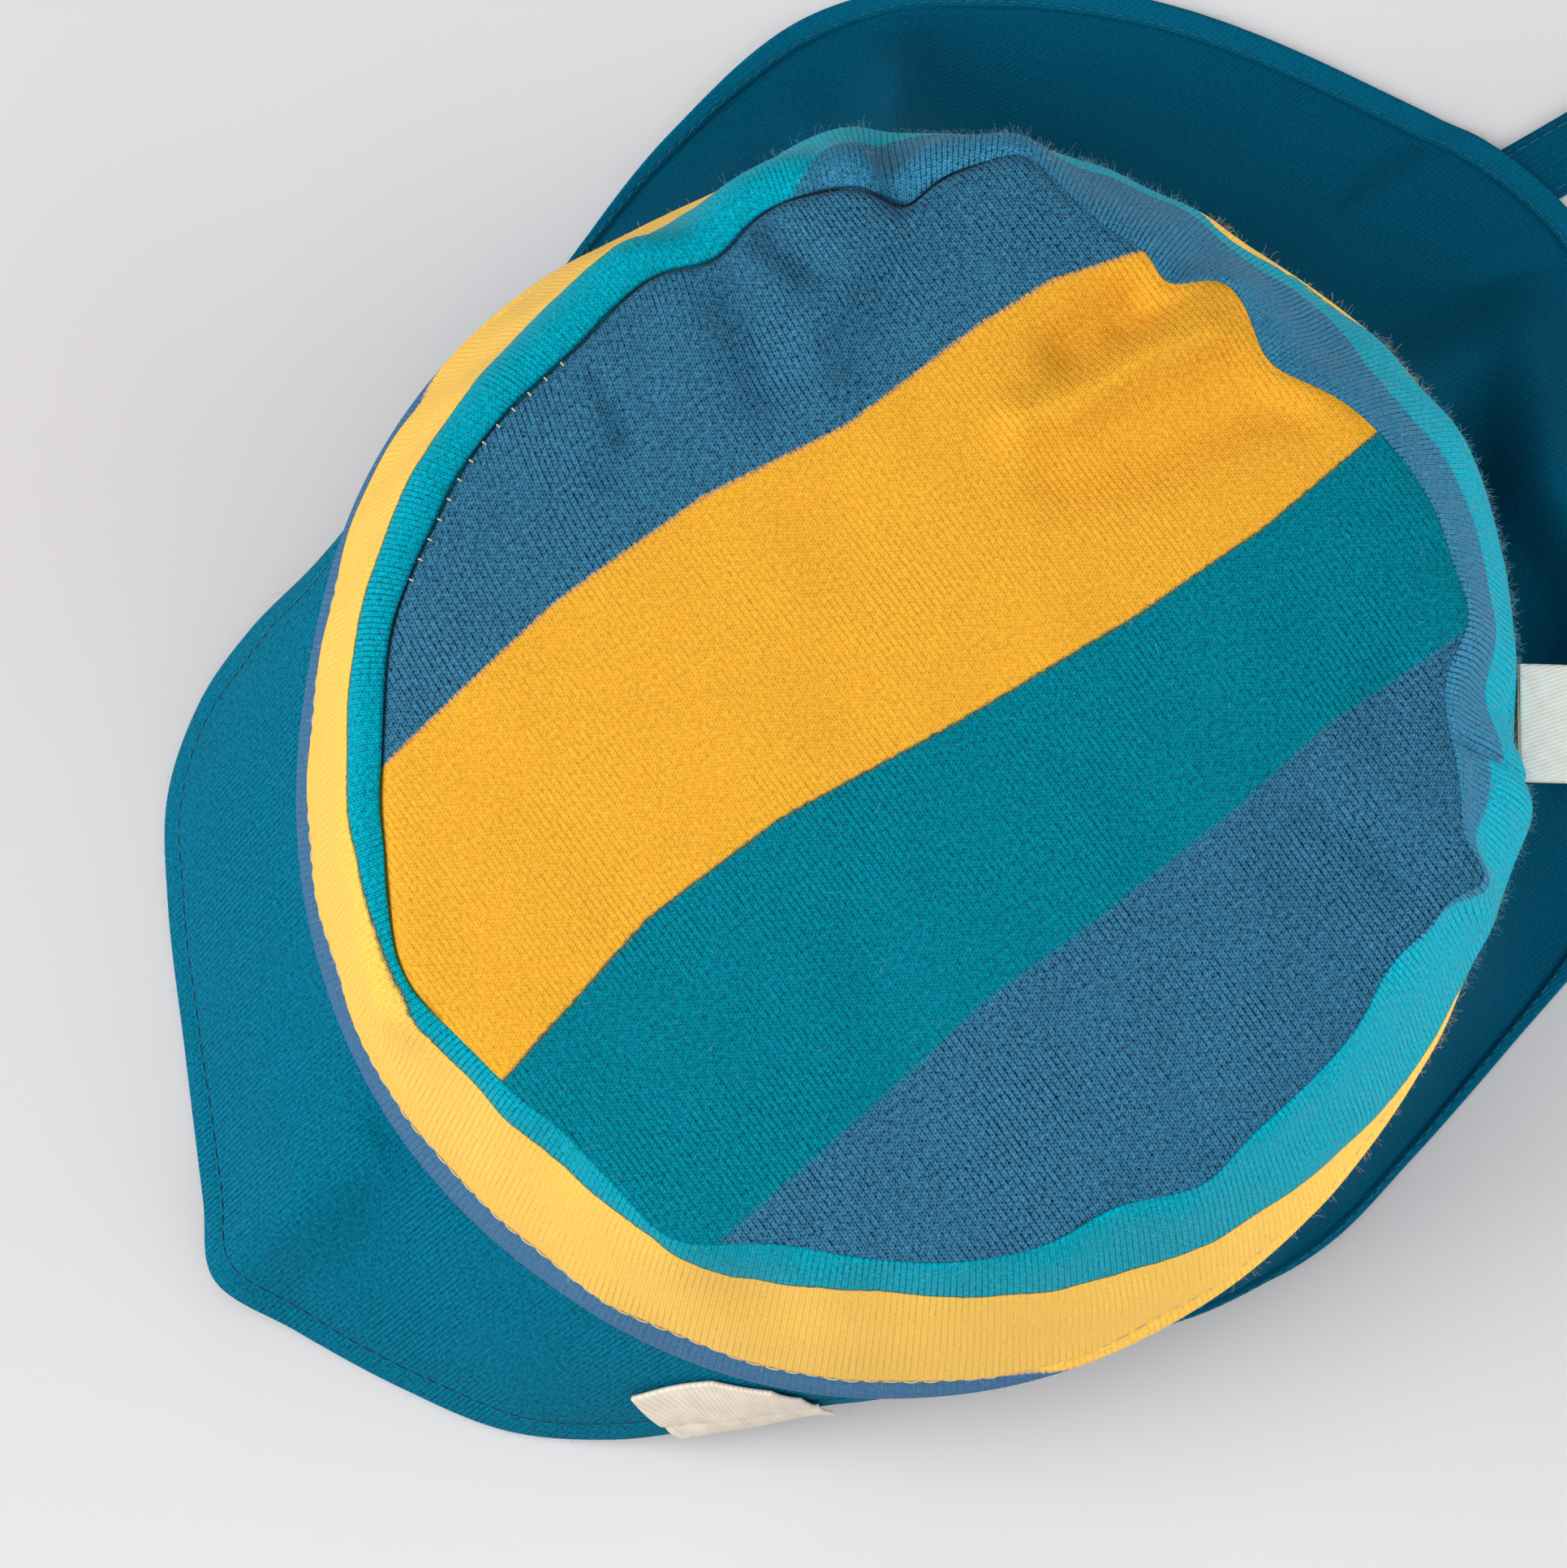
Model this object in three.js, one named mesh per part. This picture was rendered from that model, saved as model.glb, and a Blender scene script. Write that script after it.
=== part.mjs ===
// A small child's flap sun hat of striped jersey, lying on a table as it rests by itself.
// Millimetres, +Z up, the table is z = 0. Front is -Y, back is +Y. A turn is an angle in degrees about
// +Z, measured from the centre back towards +X, so 90 is the +X side and 180 the centre front.
import * as THREE from "three";

// Driving dimensions
const JERSEY = 2; // wall of the crown: jersey with its seam allowances
const PLY = 1.6; // wall of the neck flap
const PEAK_WALL = 2.4; // two plies and their turned edge
const GAP = 0.3; // clearance between sewn pieces
const SEWN_INSET = 0.4; // peak and flap begin this far inside the outer face of the band

const BASE_HEIGHT = 41; // lower edge of the crown, at the middle of the hat
const SEAM_HEIGHT = 103.5; // seam between band and tip, at the middle of the hat
const LEAN = 0.048; // rise of the crown per millimetre towards the back
const TIP_DOME = 6; // rise of the tip over its seam
const WALL_CURVE = 1.4; // above 1 the wall stands upright at its foot and leans in at its top
const STEP_RISE = 0.09; // height of the topstitched line, as a share of the wall's
const SEAM_DIP = 1.2; // depth of the groove that the seam pulls in
const DIP_SPREAD = 0.05; // how far the groove reaches, as a share of the wall or of the tip
const ROLL_RISE = 0.93; // where the band puffs up most, as a share of its height
const ROLL_SPREAD = 0.075;
const DOME_CURVE = 2.2; // above 2 the tip is flatter in its middle
const MITRE = 28; // slope in degrees of the cut between band and tip

const HEM_WIDTH = 6.5;
const HEM_EXTRA = 0.8; // the turned hem is thicker by this
const HEM_ROWS = [0.1, 0.55, 1]; // rows of the hem, as shares of its width

const TIE_WIDTH = 10;
const TIE_WALL = 1.5;
const TIE_STEPS = 44;
const TIE_REACH = { full: 2.5, none: 8 }; // how far beside a tie the cloth over it is lifted

const LABEL_WALL = 1;
const LABEL_LIFT = 0.4; // gap between the side label and the peak

const COLOURS = {
  band: 0x139aa6,
  tip: 0xf7b52f,
  peak: 0x077a93,
  flap: 0x00607a,
  label: 0xf2ebdd,
};

// Plan of the crown. foot: radius of its lower edge; step: how far that edge stands out below the
// topstitched line; seam: radius of the tip's seam; roll: how far the band puffs up over the seam.
const CROWN = [
  { turn: -160, foot: 84.2, step: 1.8, seam: 69.0, roll: 2.6 },
  { turn: -140, foot: 81.2, step: 1.8, seam: 63.3, roll: 3.0 },
  { turn: -120, foot: 80.4, step: 1.6, seam: 61.8, roll: 3.0 },
  { turn: -100, foot: 78.6, step: 1.0, seam: 58.3, roll: 2.8 },
  { turn: -80, foot: 75.6, step: 0.5, seam: 60.8, roll: 2.4 },
  { turn: -60, foot: 76.2, step: 0.2, seam: 59.7, roll: 1.6 },
  { turn: -40, foot: 77.2, step: 0.0, seam: 62.1, roll: 0.6 },
  { turn: -20, foot: 77.0, step: 0.0, seam: 60.9, roll: 0.0 },
  { turn: 0, foot: 79.4, step: 0.0, seam: 60.5, roll: 0.0 },
  { turn: 20, foot: 79.6, step: 0.0, seam: 64.9, roll: 0.2 },
  { turn: 40, foot: 78.0, step: 0.0, seam: 64.5, roll: 0.4 },
  { turn: 60, foot: 78.8, step: 0.0, seam: 69.2, roll: 0.2 },
  { turn: 80, foot: 81.0, step: 0.4, seam: 68.4, roll: 0.0 },
  { turn: 100, foot: 84.6, step: 0.9, seam: 69.8, roll: 0.0 },
  { turn: 120, foot: 87.6, step: 1.4, seam: 72.4, roll: 0.0 },
  { turn: 140, foot: 88.8, step: 1.7, seam: 72.3, roll: 0.0 },
  { turn: 160, foot: 87.9, step: 1.8, seam: 72.9, roll: 0.4 },
  { turn: 180, foot: 86.8, step: 1.8, seam: 71.8, roll: 1.6 },
];

// Puckers where the seam's ease is gathered: the seam moves out by shift over a few degrees.
const PUCKERS = [
  { turn: -174, shift: 2.5, spread: 7.3 },
  { turn: -139, shift: 2.3, spread: 9.8 },
  { turn: -81, shift: -4.1, spread: 6.3 },
  { turn: -57, shift: -3.2, spread: 3.5 },
  { turn: -44, shift: 2.6, spread: 5.0 },
  { turn: -30, shift: -3.3, spread: 8.6 },
  { turn: -22, shift: -3.6, spread: 3.7 },
  { turn: -6, shift: -3.9, spread: 6.8 },
  { turn: 31, shift: 2.2, spread: 4.7 },
  { turn: 38, shift: -1.6, spread: 8.2 },
  { turn: 57, shift: 3.5, spread: 2.4 },
  { turn: 69, shift: -2.1, spread: 5.7 },
  { turn: 98, shift: 1.6, spread: 4.6 },
  { turn: 108, shift: -1.2, spread: 4.6 },
  { turn: 150, shift: 3.6, spread: 6.2 },
  { turn: 165, shift: -0.8, spread: 4.4 },
];

// Bulges of the band: the wall stands out by shift over a few degrees, most at half its height.
const BULGES = [
  { turn: 45, shift: 3.4, spread: 5 },
  { turn: 36, shift: -1.2, spread: 3 },
  { turn: -12, shift: -1.6, spread: 6 },
];

// Folds of the tip, from one plan point to another: a ridge where rise is positive, a crease where it
// isn't.
const TIP_FOLDS = [
  { x0: -13, y0: 20, x1: -13, y1: 56, rise: 2.2, spread: 4 },
  { x0: -21, y0: 34, x1: -20, y1: 52, rise: -1.6, spread: 4 },
  { x0: -7, y0: 32, x1: -6, y1: 56, rise: -1.4, spread: 4 },
  { x0: -47, y0: -9, x1: -43, y1: -17, rise: -1.2, spread: 2.5 },
  { x0: 40, y0: -35, x1: 27, y1: -28, rise: -1.0, spread: 6 },
  { x0: 59, y0: 34, x1: 46, y1: 22, rise: -1.8, spread: 5 },
  { x0: -52, y0: 8, x1: -40, y1: 4, rise: -1.2, spread: 4 },
];

// Outer edge of the peak from one end to the other.
const PEAK_EDGE = [
  { turn: 125, radius: 87.0, height: 34 },
  { turn: 130, radius: 88.6, height: 27.5 },
  { turn: 134, radius: 90.0, height: 22 },
  { turn: 138.5, radius: 92.8, height: 16 },
  { turn: 144, radius: 97.2, height: 9.5 },
  { turn: 150, radius: 102.6, height: 3.4 },
  { turn: 157, radius: 108.0, height: 1.3 },
  { turn: 165, radius: 111.6, height: 1.1 },
  { turn: 173, radius: 115.8, height: 2.2 },
  { turn: 179, radius: 119.8, height: 3.8 },
  { turn: 184, radius: 115.0, height: 2.4 },
  { turn: 194, radius: 108.2, height: 1.1 },
  { turn: 205, radius: 104.8, height: 1.1 },
  { turn: 213, radius: 103.2, height: 1.3 },
  { turn: 220, radius: 99.0, height: 4 },
  { turn: 226, radius: 92.4, height: 14 },
  { turn: 232, radius: 84.6, height: 26 },
  { turn: 237, radius: 80.4, height: 33 },
];
const PEAK_CREASE = { turn: 179, rise: 3.4, spread: 5 };
const PEAK_ARCH = 2.5; // how far the peak bows up between seam and edge

// Outer edge of the neck flap's hem from one end to the other.
const FLAP_EDGE = [
  { turn: -119, radius: 78.6, height: 26 },
  { turn: -107, radius: 78.2, height: 14 },
  { turn: -97, radius: 79.6, height: 7 },
  { turn: -86, radius: 85.3, height: 1.6 },
  { turn: -75, radius: 93.6, height: 0.8 },
  { turn: -62, radius: 105.0, height: 0.8 },
  { turn: -48, radius: 110.0, height: 0.8 },
  { turn: -35, radius: 111.8, height: 0.8 },
  { turn: -20, radius: 114.0, height: 0.8 },
  { turn: -7, radius: 118.6, height: 0.8 },
  { turn: 8, radius: 118.8, height: 0.8 },
  { turn: 22, radius: 115.6, height: 0.8 },
  { turn: 35, radius: 109.6, height: 0.8 },
  { turn: 48, radius: 99.6, height: 1.0 },
  { turn: 62, radius: 90.6, height: 1.8 },
  { turn: 75, radius: 87.2, height: 3.2 },
  { turn: 86, radius: 87.0, height: 6.4 },
  { turn: 97, radius: 85.4, height: 10 },
  { turn: 107, radius: 83.6, height: 17 },
  { turn: 119, radius: 84.6, height: 27 },
];

// Standing folds of the neck flap.
const FLAP_FOLDS = [
  { turn: -62, rise: 3.4, spread: 5 },
  { turn: -45, rise: -2.2, spread: 8 },
  { turn: -2, rise: 2.6, spread: 6 },
  { turn: 24, rise: -2.0, spread: 8 },
  { turn: 58, rise: 1.6, spread: 6 },
];
const FLAP_FLARE = 1.55; // above 1 the flap drops first and flares last
const FLAP_DROP = 1.75;

// Middle line of each tie, from the seam inside the band down to the table and along it.
const TIES = [
  {
    name: "tie_left",
    route: [
      [-74.0, -14, 40],
      [-73.6, -14, 30],
      [-72.0, -14, 15],
      [-67.5, -14, 4],
      [-60.5, -13, 0],
      [-48, -8, 0],
      [-33, 12, 0],
      [-23, 50, 0],
      [-19, 84, 0],
      [-16.2, 112, 0],
      [-14.6, 128, 0],
      [-13, 146, 0],
      [-12, 158, 0],
    ],
  },
  {
    name: "tie_right",
    route: [
      [80.6, -14, 40],
      [80.0, -14, 30],
      [78.2, -14, 15],
      [74, -14, 4],
      [66, -14.5, 0],
      [52, -18, 0],
      [34, -30, 0],
      [12, -46, 0],
      [-14, -56, 0],
      [-42, -54, 0],
    ],
  },
];

// Corners of the side label on the peak: upper edge by the band and lower edge by the peak's own edge,
// from the label's front end to its back end. out runs from 0 at the seam to 1 at the peak's edge.
const SIDE_LABEL = [
  { upperTurn: 149.5, upperOut: 0.5, lowerTurn: 144.8, lowerOut: 1.0 },
  { upperTurn: 143.5, upperOut: 0.14, lowerTurn: 141.5, lowerOut: 1.0 },
  { upperTurn: 138.5, upperOut: 0.08, lowerTurn: 137.0, lowerOut: 1.0 },
  { upperTurn: 136.0, upperOut: 0.24, lowerTurn: 133.2, lowerOut: 1.0 },
];

// Loop label at the foot of the band's join: it stands out from the wall and slopes down a little.
const BACK_LABEL = { turn: 36, width: 15.5, reach: 8, slope: -12, clear: 0.5, lift: 1.1 };

const RAD = Math.PI / 180;

// Smallest difference between two turns.
function between(a, b) {
  return ((((a - b + 180) % 360) + 360) % 360) - 180;
}

function bump(distance, spread) {
  return Math.exp(-((distance / spread) ** 2));
}

function smoothstep(low, high, value) {
  const t = THREE.MathUtils.clamp((value - low) / (high - low), 0, 1);
  return t * t * (3 - 2 * t);
}

// Point at a turn, radius and height.
function at(turn, radius, height) {
  return new THREE.Vector3(
    radius * Math.sin(turn * RAD),
    radius * Math.cos(turn * RAD),
    height,
  );
}

// A column of CROWN as a smooth function of the turn, all the way round.
function around(column) {
  const step = 360 / CROWN.length;
  const first = CROWN[0].turn;
  const value = (i) => CROWN[(i + CROWN.length) % CROWN.length][column];
  return (turn) => {
    const place = (between(turn, first) + (between(turn, first) < 0 ? 360 : 0)) / step;
    const i = Math.floor(place);
    const t = place - i;
    const [a, b, c, d] = [value(i - 1), value(i), value(i + 1), value(i + 2)];
    return b + 0.5 * t * (c - a + t * (2 * a - 5 * b + 4 * c - d + t * (3 * (b - c) + d - a)));
  };
}

const footRadius = around("foot");
const footStep = around("step");
const smoothSeamRadius = around("seam");
const rollHeight = around("roll");

function seamRadius(turn) {
  const pucker = PUCKERS.reduce((sum, p) => sum + p.shift * bump(between(turn, p.turn), p.spread), 0);
  return smoothSeamRadius(turn) + pucker;
}

function leaning(height, point) {
  return height + LEAN * point.y;
}

// Outer face of the band. rise runs from 0 at its foot to 1 at the tip's seam.
function bandFace(turn, rise) {
  const foot = footRadius(turn);
  const seam = seamRadius(turn);
  const bulge = BULGES.reduce((sum, b) => sum + b.shift * bump(between(turn, b.turn), b.spread), 0);
  const belly = Math.sin(Math.PI * Math.min(1, rise * 1.15) ** 0.8);
  const step = footStep(turn);
  const narrowed = foot - step * smoothstep(0, STEP_RISE, rise);
  const radius = narrowed - (foot - step - seam) * rise ** WALL_CURVE + bulge * belly;
  const roll = rollHeight(turn) * bump(rise - ROLL_RISE, ROLL_SPREAD) * smoothstep(1, 0.95, rise);
  const dip = SEAM_DIP * bump(1 - rise, DIP_SPREAD);
  const point = at(turn, radius, 0);
  point.z = leaning(BASE_HEIGHT + (SEAM_HEIGHT - BASE_HEIGHT) * rise + roll - dip, point);
  return point;
}

// Height that a fold of the tip adds at a plan point.
function foldRise(point, fold) {
  const along = new THREE.Vector2(fold.x1 - fold.x0, fold.y1 - fold.y0);
  const to = new THREE.Vector2(point.x - fold.x0, point.y - fold.y0);
  const t = THREE.MathUtils.clamp(to.dot(along) / along.lengthSq(), 0, 1);
  const away = to.sub(along.multiplyScalar(t)).length();
  return fold.rise * bump(away, fold.spread);
}

// Outer face of the tip. spread runs from 0 at its middle to 1 at the seam.
function tipFace(turn, spread) {
  const point = at(turn, seamRadius(turn) * spread, 0);
  const dome = TIP_DOME * (1 - spread ** DOME_CURVE);
  const dip = SEAM_DIP * bump(1 - spread, DIP_SPREAD);
  const folds = TIP_FOLDS.reduce((sum, f) => sum + foldRise(point, f), 0);
  point.z = leaning(SEAM_HEIGHT + dome - dip + folds * smoothstep(1, 0.9, spread), point);
  return point;
}

// Smooth curve through the rows of an edge's table.
function edgeCurve(rows) {
  const points = rows.map((row) => at(row.turn, row.radius, row.height));
  return new THREE.CatmullRomCurve3(points, false, "centripetal");
}

function turnOf(point) {
  return Math.atan2(point.x, point.y) / RAD;
}

// Where a piece that is sewn to the band's foot begins, a small inset inside the band's outer face.
function footPoint(turn, inset = SEWN_INSET) {
  const point = at(turn, footRadius(turn) - inset, 0);
  point.z = leaning(BASE_HEIGHT, point) - GAP;
  return point;
}

const peakEdge = edgeCurve(PEAK_EDGE);

// Upper face of the peak. along runs from one end to the other, out from the seam to the edge.
function peakFace(along, out) {
  const edge = peakEdge.getPoint(along);
  const turn = turnOf(edge);
  const point = footPoint(turn).lerp(edge, out);
  const reach = Math.sin(Math.PI * along) ** 0.5;
  const crease = PEAK_CREASE.rise * bump(between(turn, PEAK_CREASE.turn), PEAK_CREASE.spread);
  point.z += PEAK_ARCH * reach * Math.sin(Math.PI * out);
  point.z += crease * Math.sin(Math.PI * Math.min(1, out * 0.75 + 0.1)) * smoothstep(0, 0.15, out);
  return point;
}

// Height of what lies under the neck flap at a plan point: the table, or a tie on it.
function groundHeight(point, ties) {
  const away = Math.min(...ties.map((tie) => tie.planDistance(point)));
  const beside = away - TIE_WIDTH / 2;
  return (TIE_WALL + 2 * GAP) * smoothstep(TIE_REACH.none, TIE_REACH.full, beside);
}

const flapEdge = edgeCurve(FLAP_EDGE);

// Upper face of the neck flap.
function flapFace(along, out, ties) {
  const edge = flapEdge.getPoint(along);
  const turn = turnOf(edge);
  const root = footPoint(turn);
  const point = root.clone();
  point.lerp(new THREE.Vector3(edge.x, edge.y, root.z), out ** FLAP_FLARE);
  point.z = THREE.MathUtils.lerp(root.z, edge.z, 1 - (1 - out) ** FLAP_DROP);
  const waves = FLAP_FOLDS.reduce((sum, f) => sum + f.rise * bump(between(turn, f.turn), f.spread), 0);
  const outward = new THREE.Vector3(Math.sin(turn * RAD), Math.cos(turn * RAD), 0.6);
  point.addScaledVector(outward, waves * Math.sin(Math.PI * out) ** 1.5);
  const lowest = groundHeight(point, ties) + PLY;
  point.z = Math.max(point.z, lowest);
  return point;
}

// Unit normal of a face at a place on it, by small steps along both of its directions.
function normalOf(face, a, b, stepA, stepB) {
  const u = face(a + stepA, b).sub(face(a - stepA, b));
  const low = Math.max(0, b - stepB);
  const high = Math.min(1, b + stepB);
  const v = face(a, high).sub(face(a, low));
  return u.cross(v).normalize();
}

// The same on a face that runs all the way round, by its turn.
function roundNormal(face, turn, b) {
  return normalOf(face, turn, b, 1.5, 0.02);
}

// The same on a face that runs from one end to the other, kept clear of both ends.
function openNormal(face, along, out) {
  return normalOf(face, THREE.MathUtils.clamp(along, 0.01, 0.99), out, 0.008, 0.05);
}

// Turns a normal to the side that shows: outwards and up.
function showing(normal, turn) {
  return normal.dot(at(turn, 1, 0.8)) < 0 ? normal.negate() : normal;
}

// Closed wall between two skins that are sampled on one grid. The grid wraps where the piece goes all
// the way round, and closes on a middle point where centred is set.
function wall(outer, inner, columns, rows, { wraps = false, centred = false } = {}) {
  const across = wraps ? columns : columns + 1;
  const positions = [];
  const faces = [];
  const firstRow = centred ? 1 : 0;
  const skins = [outer, inner].map((skin) => {
    const start = positions.length / 3;
    for (let j = firstRow; j <= rows; j++)
      for (let i = 0; i < across; i++) positions.push(...skin(i / columns, j / rows).toArray());
    return (i, j) => start + (j - firstRow) * across + (wraps ? (i + columns) % columns : i);
  });
  const quad = (a, b, c, d) => faces.push(a, b, c, a, c, d);
  const [top, under] = skins;
  for (let j = firstRow; j < rows; j++)
    for (let i = 0; i < columns; i++) {
      quad(top(i, j), top(i + 1, j), top(i + 1, j + 1), top(i, j + 1));
      quad(under(i, j), under(i, j + 1), under(i + 1, j + 1), under(i + 1, j));
    }
  for (let i = 0; i < columns; i++) {
    quad(top(i, rows), top(i + 1, rows), under(i + 1, rows), under(i, rows));
    if (!centred) quad(top(i + 1, 0), top(i, 0), under(i, 0), under(i + 1, 0));
  }
  if (!wraps)
    for (let j = firstRow; j < rows; j++) {
      quad(top(0, j), top(0, j + 1), under(0, j + 1), under(0, j));
      quad(top(columns, j + 1), top(columns, j), under(columns, j), under(columns, j + 1));
    }
  if (centred) {
    const middle = positions.length / 3;
    positions.push(...outer(0, 0).toArray(), ...inner(0, 0).toArray());
    for (let i = 0; i < columns; i++) {
      faces.push(middle, top(i + 1, 1), top(i, 1));
      faces.push(middle + 1, under(i, 1), under(i + 1, 1));
    }
  }
  const geometry = new THREE.BufferGeometry();
  geometry.setAttribute("position", new THREE.Float32BufferAttribute(positions, 3));
  geometry.setIndex(faces);
  geometry.computeVertexNormals();
  return geometry;
}

function cloth(name, geometry, color) {
  const material = new THREE.MeshStandardMaterial({ color, roughness: 0.95, metalness: 0 });
  const mesh = new THREE.Mesh(geometry, material);
  mesh.name = name;
  return mesh;
}

// Direction in which both walls are cut at the seam between them, so that their ends lie face to face.
function mitre(turn) {
  return at(turn, Math.sin(MITRE * RAD), Math.cos(MITRE * RAD));
}

function crownBand() {
  const columns = 80;
  const rows = 9;
  const outer = (u, v) => bandFace(360 * u, 1 - v);
  const inner = (u, v) => {
    const normal = roundNormal(bandFace, 360 * u, 1 - v).negate();
    normal.lerp(mitre(360 * u), smoothstep(0.12, 0, v)).normalize();
    if (v === 1) normal.setZ(0).normalize();
    return outer(u, v).addScaledVector(normal, -JERSEY);
  };
  return cloth("crown_band", wall(outer, inner, columns, rows, { wraps: true }), COLOURS.band);
}

function crownTip() {
  const columns = 80;
  const rows = 8;
  // The rim stays clear of the band's upper edge by the gap.
  const rim = (turn) => 1 - GAP / seamRadius(turn);
  const face = (turn, spread) => tipFace(turn, spread * rim(turn));
  const outer = (u, v) => face(360 * u, v ** 0.8);
  const inner = (u, v) => {
    const normal = roundNormal(face, 360 * u, Math.max(0.03, v ** 0.8));
    if (normal.z < 0) normal.negate();
    normal.lerp(mitre(360 * u), smoothstep(0.85, 1, v)).normalize();
    return outer(u, v).addScaledVector(normal, -JERSEY);
  };
  return cloth("crown_tip", wall(outer, inner, columns, rows, { wraps: true, centred: true }), COLOURS.tip);
}

function peak() {
  const columns = 52;
  const rows = 7;
  const outer = (u, v) => peakFace(u, v);
  const inner = (u, v) => {
    const point = outer(u, v);
    const normal = showing(openNormal(peakFace, u, v), turnOf(point));
    point.addScaledVector(normal, -PEAK_WALL);
    point.z = Math.max(0, point.z);
    return point;
  };
  return cloth("peak", wall(outer, inner, columns, rows), COLOURS.peak);
}

function neckFlap(ties) {
  const columns = 76;
  const rows = 9;
  const stepRow = rows - HEM_ROWS.length + 1; // here the turned hem begins, as a step up
  const hemStart = (u) => {
    const edge = flapEdge.getPoint(u);
    return Math.max(0.4, 1 - HEM_WIDTH / edge.distanceTo(footPoint(turnOf(edge))));
  };
  const outAt = (u, v) => {
    const row = Math.round(v * rows);
    if (row < stepRow) return (hemStart(u) * row) / (stepRow - 1);
    return THREE.MathUtils.lerp(hemStart(u), 1, HEM_ROWS[row - stepRow]);
  };
  const normalAt = (u, out) => {
    const face = (a, b) => flapFace(a, b, ties);
    return showing(openNormal(face, u, out), turnOf(face(u, out)));
  };
  const outer = (u, v) => {
    const out = outAt(u, v);
    const lift = Math.round(v * rows) < stepRow ? 0 : HEM_EXTRA;
    return flapFace(u, out, ties).addScaledVector(normalAt(u, out), lift);
  };
  const inner = (u, v) => {
    const out = outAt(u, v);
    const point = flapFace(u, out, ties).addScaledVector(normalAt(u, out), -PLY);
    point.z = Math.max(groundHeight(point, ties), point.z);
    return point;
  };
  return cloth("neck_flap", wall(outer, inner, columns, rows), COLOURS.flap);
}

// A flat tie as a strip along its middle line, with its broad side on the table.
function tieStrip(route) {
  const curve = new THREE.CatmullRomCurve3(route.map((p) => new THREE.Vector3(...p)));
  const samples = curve.getSpacedPoints(TIE_STEPS).map((p) => p.setZ(Math.max(0, p.z)));
  const planDistance = (point) =>
    Math.min(...samples.filter((s) => s.z < 1).map((s) => Math.hypot(s.x - point.x, s.y - point.y)));
  return { curve, samples, planDistance };
}

function tie(name, strip) {
  const { curve, samples } = strip;
  const sides = samples.map((_, k) => {
    const tangent = curve.getTangentAt(k / TIE_STEPS);
    const flat = new THREE.Vector3(tangent.y, -tangent.x, 0);
    const hanging = new THREE.Vector3(0, samples[0].x < 0 ? -1 : 1, 0);
    const side = flat.lengthSq() > 1e-6 ? flat.normalize() : hanging;
    return hanging.lerp(side, smoothstep(0.02, 0.3, k / TIE_STEPS)).normalize();
  });
  const face = (u, v, lift) => {
    const k = Math.round(v * TIE_STEPS);
    const tangent = curve.getTangentAt(k / TIE_STEPS);
    const normal = sides[k].clone().cross(tangent).normalize();
    return samples[k].clone().addScaledVector(sides[k], (u - 0.5) * TIE_WIDTH).addScaledVector(normal, lift);
  };
  const upper = (u, v) => face(u, v, TIE_WALL);
  const lower = (u, v) => face(u, v, 0);
  return cloth(name, wall(upper, lower, 2, TIE_STEPS), COLOURS.flap);
}

// The side label lies on the peak, so it is a strip of the peak's own face, lifted by the gap.
function sideLabel() {
  const columns = 9;
  const rows = 4;
  const last = SIDE_LABEL.length - 1;
  const alongAt = (turn) => {
    let [low, high] = [0, 1];
    for (let k = 0; k < 24; k++) {
      const middle = (low + high) / 2;
      const there = (turnOf(peakEdge.getPoint(middle)) + 360) % 360;
      if (there < turn) low = middle;
      else high = middle;
    }
    return low;
  };
  const face = (u, v, lift) => {
    const i = Math.min(last - 1, Math.floor(u * last));
    const [a, b] = [SIDE_LABEL[i], SIDE_LABEL[i + 1]];
    const t = u * last - i;
    const mix = (key) => THREE.MathUtils.lerp(a[key], b[key], t);
    const along = alongAt(THREE.MathUtils.lerp(mix("upperTurn"), mix("lowerTurn"), v));
    const out = THREE.MathUtils.lerp(mix("upperOut"), mix("lowerOut"), v);
    const normal = openNormal(peakFace, along, Math.min(out, 0.95));
    if (normal.z < 0) normal.negate();
    return peakFace(along, out).addScaledVector(normal, lift);
  };
  const upper = (u, v) => face(1 - u, v, LABEL_LIFT + LABEL_WALL);
  const lower = (u, v) => face(1 - u, v, LABEL_LIFT);
  return cloth("side_label", wall(upper, lower, columns, rows), COLOURS.label);
}

function backLabel({ turn, width, reach, slope, clear, lift }) {
  const box = new THREE.BoxGeometry(width, reach, LABEL_WALL);
  box.translate(0, reach / 2, 0);
  const root = footPoint(turn, -clear);
  const mesh = cloth("back_label", box, COLOURS.label);
  mesh.rotation.order = "ZYX";
  mesh.rotation.set(slope * RAD, 0, -turn * RAD);
  mesh.position.copy(root).setZ(root.z + lift);
  return mesh;
}

const strips = TIES.map((row) => tieStrip(row.route));

const hat = new THREE.Group();
hat.add(crownBand(), crownTip(), peak(), neckFlap(strips));
TIES.forEach((row, i) => hat.add(tie(row.name, strips[i])));
hat.add(sideLabel(), backLabel(BACK_LABEL));

// The origin is on the table, under the middle of the hat's box.
hat.updateMatrixWorld(true);
const middle = new THREE.Box3().setFromObject(hat).getCenter(new THREE.Vector3());
hat.position.set(-middle.x, -middle.y, 0);

export default hat;
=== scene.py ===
# %% [markdown]
# # A flap sun hat of striped jersey
#
# The real hat is a small child's: an oval tip and a side band of yarn-dyed striped jersey, a peak in
# front, a flap over the neck and a pair of flat ties. Its solids come from model.glb, so this lesson
# dresses them: every piece is made again here as thin cloth with rounded edges, folds, stitches and
# fuzz, where the solids say. One could drape it all by simulation, but cloth that has been sewn, washed
# and put down keeps the folds that the seams give it, and those are placed more surely by a few tables
# of angles and millimetres.

import math

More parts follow.
